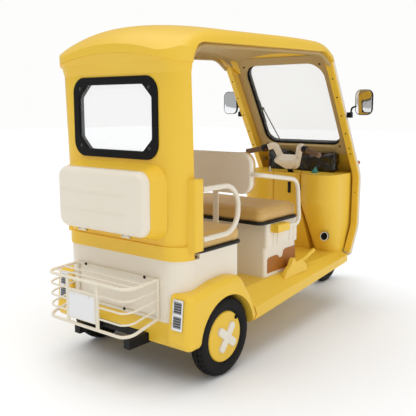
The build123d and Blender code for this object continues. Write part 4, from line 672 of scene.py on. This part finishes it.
rear_hinge = hinges["rear_seat_hinge"]
REAR_SEAT_FOOT = rear_hinge.z + 0.0073
rear_low, rear_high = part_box("rear_seat_cushion")
NARROW_BACK = rear_low.y
rear_low = Vector((rear_low.x, -0.974, REAR_SEAT_FOOT + TRAY_HEIGHT))
shape = bmesh.new()
soft_block(shape, rear_low + Vector((SWELL, SWELL, 0)), rear_high - Vector((SWELL, SWELL, SWELL + 0.004)),
           0.044, 0.018)
NARROW_HALF = 0.384
soft_block(shape, (-NARROW_HALF + SWELL, NARROW_BACK + SWELL, rear_low.z),
           (NARROW_HALF - SWELL, -0.930, rear_high.z - SWELL - 0.004), 0.020, 0.018)
rear_pad = stuffed("rear_seat_pad_cover", shape, 2, rear_low.z, 1, 0.010, "rear_seat_lid")
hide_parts("rear_seat_cushion")
rear_seam = rounded_loop((rear_low.x, NARROW_BACK, 0), rear_high, 0.048, rear_high.z - 0.024)
welt("rear_seat_welt", rear_pad, rear_seam, 0.0028, 0.0004, tan_vinyl, "rear_seat_lid")

TRAY_INSET = 0.002
KNUCKLE_X, KNUCKLE_HALF, KNUCKLE_RADIUS = 0.180, 0.0177, 0.005
for word, low, high, foot, corner, back, hinge in (
        ("front", front_low, front_high, FRONT_SEAT_FOOT, 0.044, None, front_hinge),
        ("rear", rear_low, rear_high, REAR_SEAT_FOOT, 0.046, NARROW_BACK + TRAY_INSET, rear_hinge)):
    shape = bmesh.new()
    soft_block(shape, (low.x + TRAY_INSET, low.y + TRAY_INSET, foot),
               (high.x - TRAY_INSET, high.y - TRAY_INSET, foot + TRAY_HEIGHT), corner, 0.003)
    if back:
        soft_block(shape, (-NARROW_HALF + TRAY_INSET, back, foot),
                   (NARROW_HALF - TRAY_INSET, low.y + 0.03, foot + TRAY_HEIGHT), 0.012, 0.003)
    for x in (-KNUCKLE_X, KNUCKLE_X):
        bmesh.ops.create_cone(shape, cap_ends=True, segments=20, radius1=KNUCKLE_RADIUS,
                              radius2=KNUCKLE_RADIUS, depth=2 * KNUCKLE_HALF,
                              matrix=Matrix.Translation((x, hinge.y, hinge.z))
                              @ Matrix.Rotation(radians(90), 4, "Y"))
        bevelled_box(shape, (x - 0.014, hinge.y - 0.0085, hinge.z),
                     (x + 0.014, hinge.y + 0.002, foot + 0.006), 0.001, 1)
    fitted(word + "_seat_tray", shape, tray_black, word + "_seat_lid")

back_low, back_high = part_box("front_seat_pad")
shape = bmesh.new()
soft_block(shape, back_low + Vector((SWELL, 0, SWELL)), back_high - Vector((SWELL, SWELL + 0.004, SWELL)),
           0.076, 0.016, along=1)
piece = stuffed("front_backrest_cover", shape, 1, back_low.y, 1, 0.009, "root")
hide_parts("front_seat_pad")
welt("front_backrest_welt", piece, rounded_loop(back_low, back_high, 0.080, back_high.y - 0.018, along=1),
     0.0028, 0.0004, tan_vinyl, "root")

rest_low, rest_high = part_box("rear_seat_back")
shape = bmesh.new()
soft_block(shape, rest_low + Vector((SWELL, 0, SWELL)), rest_high - Vector((SWELL, SWELL + 0.004, SWELL)),
           0.040, 0.018, along=1)
piece = stuffed("rear_backrest_cover", shape, 1, rest_low.y, 1, 0.010, "root")
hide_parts("rear_seat_back")
welt("rear_backrest_welt", piece, rounded_loop(rest_low, rest_high, 0.044, rest_high.y - 0.020, along=1),
     0.0028, 0.0004, tan_vinyl, "root")

# ---- front seat box ------------------------------------------------
# Below its ribs the ivory box has a shallow bay on each side, cut to a wavy outline. A thin
# brown plate in each bay is painted shade, standing for the dim yellow inside seen through it.

# painted shade: a brown plate for the dim inside of the bay, streaked level, slightly glossy
shaded_bay_plate, tree = new_material("painted_shade_bay_plate")
place = node(tree, "ShaderNodeTexCoord").outputs["Object"]
level_streaks = node(tree, "ShaderNodeTexNoise", None, {
    "Vector": node(tree, "ShaderNodeMapping", None, {"Vector": place, "Scale": (1, 1, 7)}).outputs["Vector"],
    "Scale": 1000 / 90, "Detail": 6.0, "Roughness": 0.6})
tone = node(tree, "ShaderNodeMixRGB", None, {
    "Fac": level_streaks.outputs["Fac"], "Color1": linear("#9A570E"), "Color2": linear("#B5721F")})
bump = node(tree, "ShaderNodeBump", None, {
    "Height": level_streaks.outputs["Fac"], "Strength": 0.2, "Distance": 0.0006})
shade = node(tree, "ShaderNodeMapRange", None, {"Value": level_streaks.outputs["Fac"], "To Min": 0.4, "To Max": 0.6})
surface(tree, node(tree, "ShaderNodeBsdfPrincipled", None, {
    "Base Color": tone.outputs["Color"], "Roughness": shade.outputs["Result"],
    "Normal": bump.outputs["Normal"]}))

SHADE_PLATE_X, SHADE_PLATE_THICK = 0.3505, 0.0022
BAY = [(-0.236, 0.402), (-0.236, 0.480), (-0.226, 0.495), (-0.153, 0.499), (-0.123, 0.495),
       (-0.103, 0.475), (-0.071, 0.475), (-0.055, 0.515), (-0.033, 0.521), (0.076, 0.521), (0.081, 0.513),
       (0.081, 0.402)]
# each plate is painted shade: dark brown where the inside of the bay lies in shadow
for side, word in ((-1, "left"), (1, "right")):
    shape = bmesh.new()
    face = shape.faces.new([shape.verts.new((side * SHADE_PLATE_X, y, z)) for y, z in BAY])
    grown = bmesh.ops.extrude_face_region(shape, geom=[face])
    bmesh.ops.translate(shape, vec=(side * SHADE_PLATE_THICK, 0, 0),
                        verts=[v for v in grown["geom"] if isinstance(v, bmesh.types.BMVert)])
    bmesh.ops.recalc_face_normals(shape, faces=shape.faces)
    fitted("seat_box_shade_plate_" + word, shape, shaded_bay_plate)

# ---- dash bundle ---------------------------------------------------
# The instrument pod is still wrapped in creased black polythene, which heaps up at both
# sides of the handlebar.

# polythene film: black, with sharp bright creases
film, tree = new_material("creased_black_polythene")
place = node(tree, "ShaderNodeTexCoord").outputs["Object"]
folds = node(tree, "ShaderNodeTexNoise", {"noise_type": "RIDGED_MULTIFRACTAL"}, {
    "Vector": place, "Scale": 1000 / 90, "Detail": 5.0, "Roughness": 0.6, "Distortion": 0.8})
bump = node(tree, "ShaderNodeBump", None, {
    "Height": folds.outputs["Fac"], "Strength": 1.0, "Distance": 0.010})
shade = node(tree, "ShaderNodeMapRange", None, {
    "Value": folds.outputs["Fac"], "To Min": 0.30, "To Max": 0.16})
surface(tree, node(tree, "ShaderNodeBsdfPrincipled", None, {
    "Base Color": linear("#0C0C0D"), "Roughness": shade.outputs["Result"], "Normal": bump.outputs["Normal"],
    "Coat Weight": 0.4, "Coat Roughness": 0.1}))

pod_low, pod_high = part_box("instrument_display")
shape = bmesh.new()
soft_block(shape, pod_low + Vector((0.006, 0.006, 0)), pod_high - Vector((0.006, 0.006, 0.006)), 0.026, 0.022,
           along=0)
bmesh.ops.triangulate(shape, faces=shape.faces)
for _ in range(5):
    long_edges = [e for e in shape.edges if e.calc_length() > 0.009]
    bmesh.ops.subdivide_edges(shape, edges=long_edges, cuts=1)
    bmesh.ops.triangulate(shape, faces=shape.faces)
for _ in range(3):
    bmesh.ops.smooth_vert(shape, verts=shape.verts, factor=0.5, use_axis_x=True, use_axis_y=True,
                          use_axis_z=True)
shape.normal_update()
HEAP_LIFT, HEAP_START, HEAP_RISE = 0.032, 0.06, 0.08
for vert in shape.verts:
    fold = noise.ridged_multi_fractal(vert.co * 11.0 + Vector((3, 1, 7)), 0.7, 2.2, 5, 0.9, 2.0,
                                      noise_basis="PERLIN_ORIGINAL")
    sag = noise.noise(vert.co * 17.0)
    vert.co += vert.normal * (0.0085 * (fold - 1.1) + 0.008 * sag)
    vert.co.x = min(max(vert.co.x, pod_low.x), pod_high.x)
    vert.co.y = min(max(vert.co.y, pod_low.y), pod_high.y)
    vert.co.z = max(vert.co.z, pod_low.z)
    aside = min(1.0, max(0.0, (abs(vert.co.x) - HEAP_START) / HEAP_RISE))
    heap = aside * (vert.co.z - pod_low.z) / (pod_high.z - pod_low.z)
    vert.co.z += HEAP_LIFT * heap * (1.0 + 0.5 * noise.noise(vert.co * 9.0))
pod = keep_mesh("wrapped_instrument_pod", shape, film)
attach(pod, "root")
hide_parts("instrument_display")

# ---- handlebar -----------------------------------------------------
# Rubber grips slide over the steel bar, each with a bead at its end. Inboard of each is a
# black switch box of two halves, with its keys on the face towards the rider.

def turned(shape, profile, start, facing, steps=32):
    """Spins a profile of (along, radius) points and stands it at start, facing a direction."""
    part = bmesh.new()
    verts = [part.verts.new((r, 0, d)) for d, r in profile]
    edges = [part.edges.new(pair) for pair in zip(verts, verts[1:])]
    bmesh.ops.spin(part, geom=verts + edges, cent=(0, 0, 0), axis=(0, 0, 1), angle=2 * pi, steps=steps,
                   use_merge=True)
    bmesh.ops.remove_doubles(part, verts=part.verts, dist=1e-6)
    bmesh.ops.recalc_face_normals(part, faces=part.faces)
    part.transform(Matrix.Translation(start) @ Vector(facing).to_track_quat("Z", "Y").to_matrix().to_4x4())
    merge(shape, part)


# grip rubber is dull and grainy, the switch box satin, and the small keys bright and glossy
grip_rubber = moulded("grey_brown_grip_rubber", "#7C6248", "#6A533D", 0.62, 0.0, 3, 0.3)
switch_plastic = moulded("black_switch_abs", "#121213", "#1A1A1B", 0.4, 0.0, 2.5, 0.2)
orange_key = moulded("orange_key_abs", "#D9541E", "#CC4A18", 0.35, 0.1, 2.5, 0.05)
red_key = moulded("red_key_abs", "#C9201C", "#B51A18", 0.32, 0.1, 2.5, 0.05)
GRIP_FOOT = Vector((0.146, 0.515, 1.094))
GRIP_END = Vector((0.298, 0.466, 1.059))
SWITCH_LENGTH = 0.042
GROOVE_RADIUS, RIB_RADIUS = 0.0172, 0.0185
for side, word in ((-1, "left"), (1, "right")):
    foot = Vector((side * GRIP_FOOT.x, GRIP_FOOT.y, GRIP_FOOT.z))
    tip = Vector((side * GRIP_END.x, GRIP_END.y, GRIP_END.z))
    run = (tip - foot).normalized()
    length = (tip - foot).length
    shape = bmesh.new()
    profile = [(SWITCH_LENGTH, 0.0), (SWITCH_LENGTH, 0.0215), (SWITCH_LENGTH + 0.004, 0.0220),
               (SWITCH_LENGTH + 0.007, 0.0190)]
    ribs = 17
    pitch = (length - SWITCH_LENGTH - 0.018) / ribs
    for rib in range(ribs):
        at = SWITCH_LENGTH + 0.009 + rib * pitch
        profile += [(at, GROOVE_RADIUS), (at + pitch * 0.25, RIB_RADIUS), (at + pitch * 0.6, RIB_RADIUS),
                    (at + pitch * 0.85, GROOVE_RADIUS)]
    profile += [(length - 0.008, 0.0195), (length - 0.003, 0.0195), (length, 0.0140), (length, 0.0)]
    turned(shape, profile, foot, run)
    grip = fitted("grip_" + word, shape, grip_rubber, "steering")
    if side > 0:
        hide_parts("handlebar_grips")
    shape = bmesh.new()
    turned(shape, [(0.0, 0.0), (0.0, 0.0215), (0.002, 0.0250), (0.015, 0.0262), (0.0155, 0.0250),
                   (0.0165, 0.0250), (0.017, 0.0262), (SWITCH_LENGTH - 0.004, 0.0250),
                   (SWITCH_LENGTH, 0.0215), (SWITCH_LENGTH, 0.0)], foot, run)
    across_bar = run.cross(Vector((0, 0, 1))).normalized() * -side
    up = run.cross(across_bar).normalized()
    up = up if up.z > 0 else -up
    for turn_out in (0.0, 0.9):
        face = (-across_bar * cos(turn_out) + up * sin(turn_out)).normalized()
        if face.y > 0:
            face = -face + 2 * up * face.dot(up)
        turned(shape, [(0.0, 0.0), (0.0, 0.006), (0.003, 0.0055), (0.004, 0.004), (0.004, 0.0)],
               foot + run * 0.028 + face * 0.0232, face, 20)
    fitted("switch_box_" + word, shape, switch_plastic, "steering")
    shape = bmesh.new()
    face = Vector((0, -0.87, -0.5))
    face = (face - run * face.dot(run)).normalized()
    turned(shape, [(0.0, 0.0), (0.0, 0.0045), (0.003, 0.0042), (0.004, 0.003), (0.004, 0.0)],
           foot + run * 0.012 + face * 0.0238, face, 20)
    fitted("switch_key_" + word, shape, orange_key if side < 0 else red_key, "steering")

# ---- dash fittings -------------------------------------------------
# An ignition key with its fob hangs in the lock; a red push button and a green warning
# triangle sit on the deck, and a black pull slot and a knob are set in the tunnel's face.

def add_plate(shape, corners, thick):
    """A flat plate: a face through the corners, given a thickness along its normal."""
    part = bmesh.new()
    face = part.faces.new([part.verts.new(c) for c in corners])
    face.normal_update()
    out = face.normal * thick
    grown = bmesh.ops.extrude_face_region(part, geom=[face])
    bmesh.ops.translate(part, vec=out, verts=[v for v in grown["geom"] if isinstance(v, bmesh.types.BMVert)])
    bmesh.ops.recalc_face_normals(part, faces=part.faces)
    bmesh.ops.bevel(part, geom=part.edges[:], offset=thick * 0.25, offset_type="OFFSET", segments=2,
                    profile=0.5, affect="EDGES", material=-1)
    merge(shape, part)


# leather fob: dark, worn smooth in places
dark_fob = moulded("dark_fob_leather", "#2A2520", "#1E1A17", 0.5, 0.0, 2.5, 0.3)
shape = bmesh.new()
KEY = Vector((-0.137, 0.538, 0.925))
turned(shape, [(0.0, 0.0), (0.0, 0.013), (0.004, 0.0125), (0.007, 0.009), (0.007, 0.0)],
       KEY - Vector((0, 0, 0.004)), (0, 0, 1), 28)
add_plate(shape, [KEY + Vector(c) for c in ((-0.004, 0, 0.002), (0.004, 0, 0.002), (0.004, 0, 0.034),
                                            (-0.004, 0, 0.034))], 0.0022)
fitted("ignition_key", shape, chrome)
shape = bmesh.new()
for low, high, corner in (((-0.013, -0.006, 0.032), (0.013, 0.008, 0.060), 0.008),
                          ((-0.012, -0.004, 0.060), (0.008, 0.012, 0.089), 0.006)):
    soft_block(shape, KEY + Vector(low), KEY + Vector(high), corner, 0.003, along=1)
fitted("key_fob", shape, dark_fob)

DECK_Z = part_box("dash_panel")[1].z
shape = bmesh.new()
turned(shape, [(0.0, 0.0), (0.0, 0.0075), (0.003, 0.0072), (0.0045, 0.005), (0.0045, 0.0)],
       (0.092, 0.585, DECK_Z), (0, 0, 1), 24)
fitted("deck_button", shape, red_key)

# acrylic sheet: green, with a clear gloss
green_film = moulded("green_acrylic", "#2F8F84", "#257A72", 0.25, 0.3, 3, 0.05)
shape = bmesh.new()
add_plate(shape, [(0.157, 0.600, DECK_Z + 0.0005), (0.201, 0.637, DECK_Z + 0.0005),
                  (0.180, 0.632, DECK_Z + 0.046)], 0.004)
fitted("warning_triangle", shape, green_film)

# polypropylene: plain satin black
dash_black = moulded("black_dash_polypropylene", "#0F0F10", "#171718", 0.45, 0.0, 3, 0.15)
shape = bmesh.new()
soft_block(shape, (0.012, 0.5355, 0.776), (0.036, 0.5420, 0.856), 0.006, 0.002, along=1)
turned(shape, [(0.0, 0.0), (0.0, 0.021), (0.006, 0.020), (0.009, 0.017), (0.020, 0.0155), (0.022, 0.013),
               (0.022, 0.0)], (0.100, 0.545, 0.816), (0, -1, 0), 32)
fitted("tunnel_controls", shape, dash_black)

# ---- brake pedal ---------------------------------------------------
# The pedal's disc is a black rubber pad, inside a bright white plastic ring that is pressed
# on round its edge.

pedal_low, pedal_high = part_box("brake_pedal")
PEDAL_FACING = Vector((0, -0.974, 0.225))
pedal_centre = (pedal_low + pedal_high) / 2
pedal_centre.y = pedal_low.y + 0.006
# hard white plastic: the brightest ring in the footwell
white_ring = moulded("white_pedal_ring", "#F4F2EC", "#E9E6DF", 0.35, 0.1, 3, 0.05)
shape = bmesh.new()
turned(shape, [(0.0, 0.027), (0.0, 0.031), (0.003, 0.031), (0.004, 0.030), (0.004, 0.026), (0.0, 0.026)],
       pedal_centre, PEDAL_FACING, 40)
fitted("pedal_ring", shape, white_ring)

# ---- mirrors -------------------------------------------------------
# Silvered glass, set in black moulded heads that stand on black stems. The glass is proud
# of the head by about a millimetre.

# silvered glass: a clean mirror with a trace of haze
silvered_glass, tree = new_material("silvered_mirror_glass")
place = node(tree, "ShaderNodeTexCoord").outputs["Object"]
haze = node(tree, "ShaderNodeTexNoise", None, {"Vector": place, "Scale": 1000 / 70, "Detail": 2.0})
shade = node(tree, "ShaderNodeMapRange", None, {"Value": haze.outputs["Fac"], "To Min": 0.02, "To Max": 0.09})
surface(tree, node(tree, "ShaderNodeBsdfPrincipled", None, {
    "Base Color": linear("#EDEEEF"), "Metallic": 1.0, "Roughness": shade.outputs["Result"]}))
MIRROR_X, MIRROR_Z = 0.532, 1.409
GLASS_HALF = Vector((0.056, 0, 0.079))
for side, y, word in ((-1, 0.582, "left"), (1, 0.612, "right")):
    shape = bmesh.new()
    middle = Vector((side * MIRROR_X, y, MIRROR_Z))
    soft_block(shape, middle - GLASS_HALF - Vector((0, 0.0012, 0)),
               middle + GLASS_HALF + Vector((0, 0.002, 0)), 0.036, 0.0006, along=1)
    fitted("mirror_glass_" + word, shape, silvered_glass)

# ---- head lamps ----------------------------------------------------
# Round lamps behind clear ribbed lenses, each in a plated bezel, with small amber turn
# lamps above them.

dress(chrome, "front_lamps")
# polycarbonate lenses: pale and glassy, and the small ones amber
lens_glass = moulded("ribbed_lens_polycarbonate", "#E6E8EA", "#DCDFE2", 0.12, 0.5, 3, 0.05)
amber_lens = moulded("amber_polycarbonate", "#E07A16", "#D06C10", 0.18, 0.4, 3, 0.05)
lens_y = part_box("front_lamps")[1].y
HEAD_LAMP = Vector((0.262, 0, 0.760))
TURN_LAMP = Vector((0.372, -0.02, 0.985))
for side, word in ((-1, "left"), (1, "right")):
    shape = bmesh.new()
    profile = [(-0.004, 0.060), (-0.0015, 0.058), (-0.0005, 0.050)]
    for ring in range(9):
        profile += [(-0.0006, 0.048 - ring * 0.005), (0.0, 0.046 - ring * 0.005)]
    profile.append((0.0, 0.0))
    turned(shape, profile, (side * HEAD_LAMP.x, lens_y, HEAD_LAMP.z), (0, 1, 0), 48)
    fitted("head_lamp_lens_" + word, shape, lens_glass)
    shape = bmesh.new()
    turned(shape, [(-0.004, 0.0135), (0.0, 0.0125), (0.0015, 0.008), (0.002, 0.0)],
           (side * TURN_LAMP.x, lens_y + TURN_LAMP.y, TURN_LAMP.z), (0, 1, 0), 28)
    fitted("turn_lamp_lens_" + word, shape, amber_lens)

# ---- rack and plate ------------------------------------------------
# Black bolts hold the rack to the body through its front corners. The plate is bare white
# enamelled steel with a rolled edge, on two bolts.

# enamelled steel: a smooth white plate with a soft shine
dress(moulded("white_enamelled_steel", "#F1F1F0", "#E8E9EA", 0.3, 0.2, 6, 0.05), "number_plate")
rack_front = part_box("cargo_rack")[1].y
plate_low, plate_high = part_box("number_plate")
spots = []
for x, z in ((-0.228, 0.548), (0.208, 0.548), (0.060, 0.356), (-0.252, 0.356)):
    spots.append(((x, rack_front - 0.022, z), (0, -1, 0)))
studs("rack_bolts", spots, 0.0085, 0.006, screw_black)
spots = []
for x in (plate_low.x + 0.045, plate_high.x - 0.045):
    spots.append(((x, plate_low.y, plate_high.z - 0.012), (0, -1, 0)))
studs("plate_bolts", spots, 0.005, 0.002, chrome)
shape = bmesh.new()
ROLL = 0.004
for low, high in (((plate_low.x, plate_low.z), (plate_high.x, plate_low.z + ROLL)),
                  ((plate_low.x, plate_high.z - ROLL), (plate_high.x, plate_high.z)),
                  ((plate_low.x, plate_low.z + 0.003), (plate_low.x + ROLL, plate_high.z - 0.003)),
                  ((plate_high.x - ROLL, plate_low.z + 0.003), (plate_high.x, plate_high.z - 0.003))):
    bevelled_box(shape, (low[0], plate_low.y - 0.0015, low[1]), (high[0], plate_low.y + 0.001, high[1]),
                 0.0008, 2)
fitted("plate_edge", shape, powder_coat)
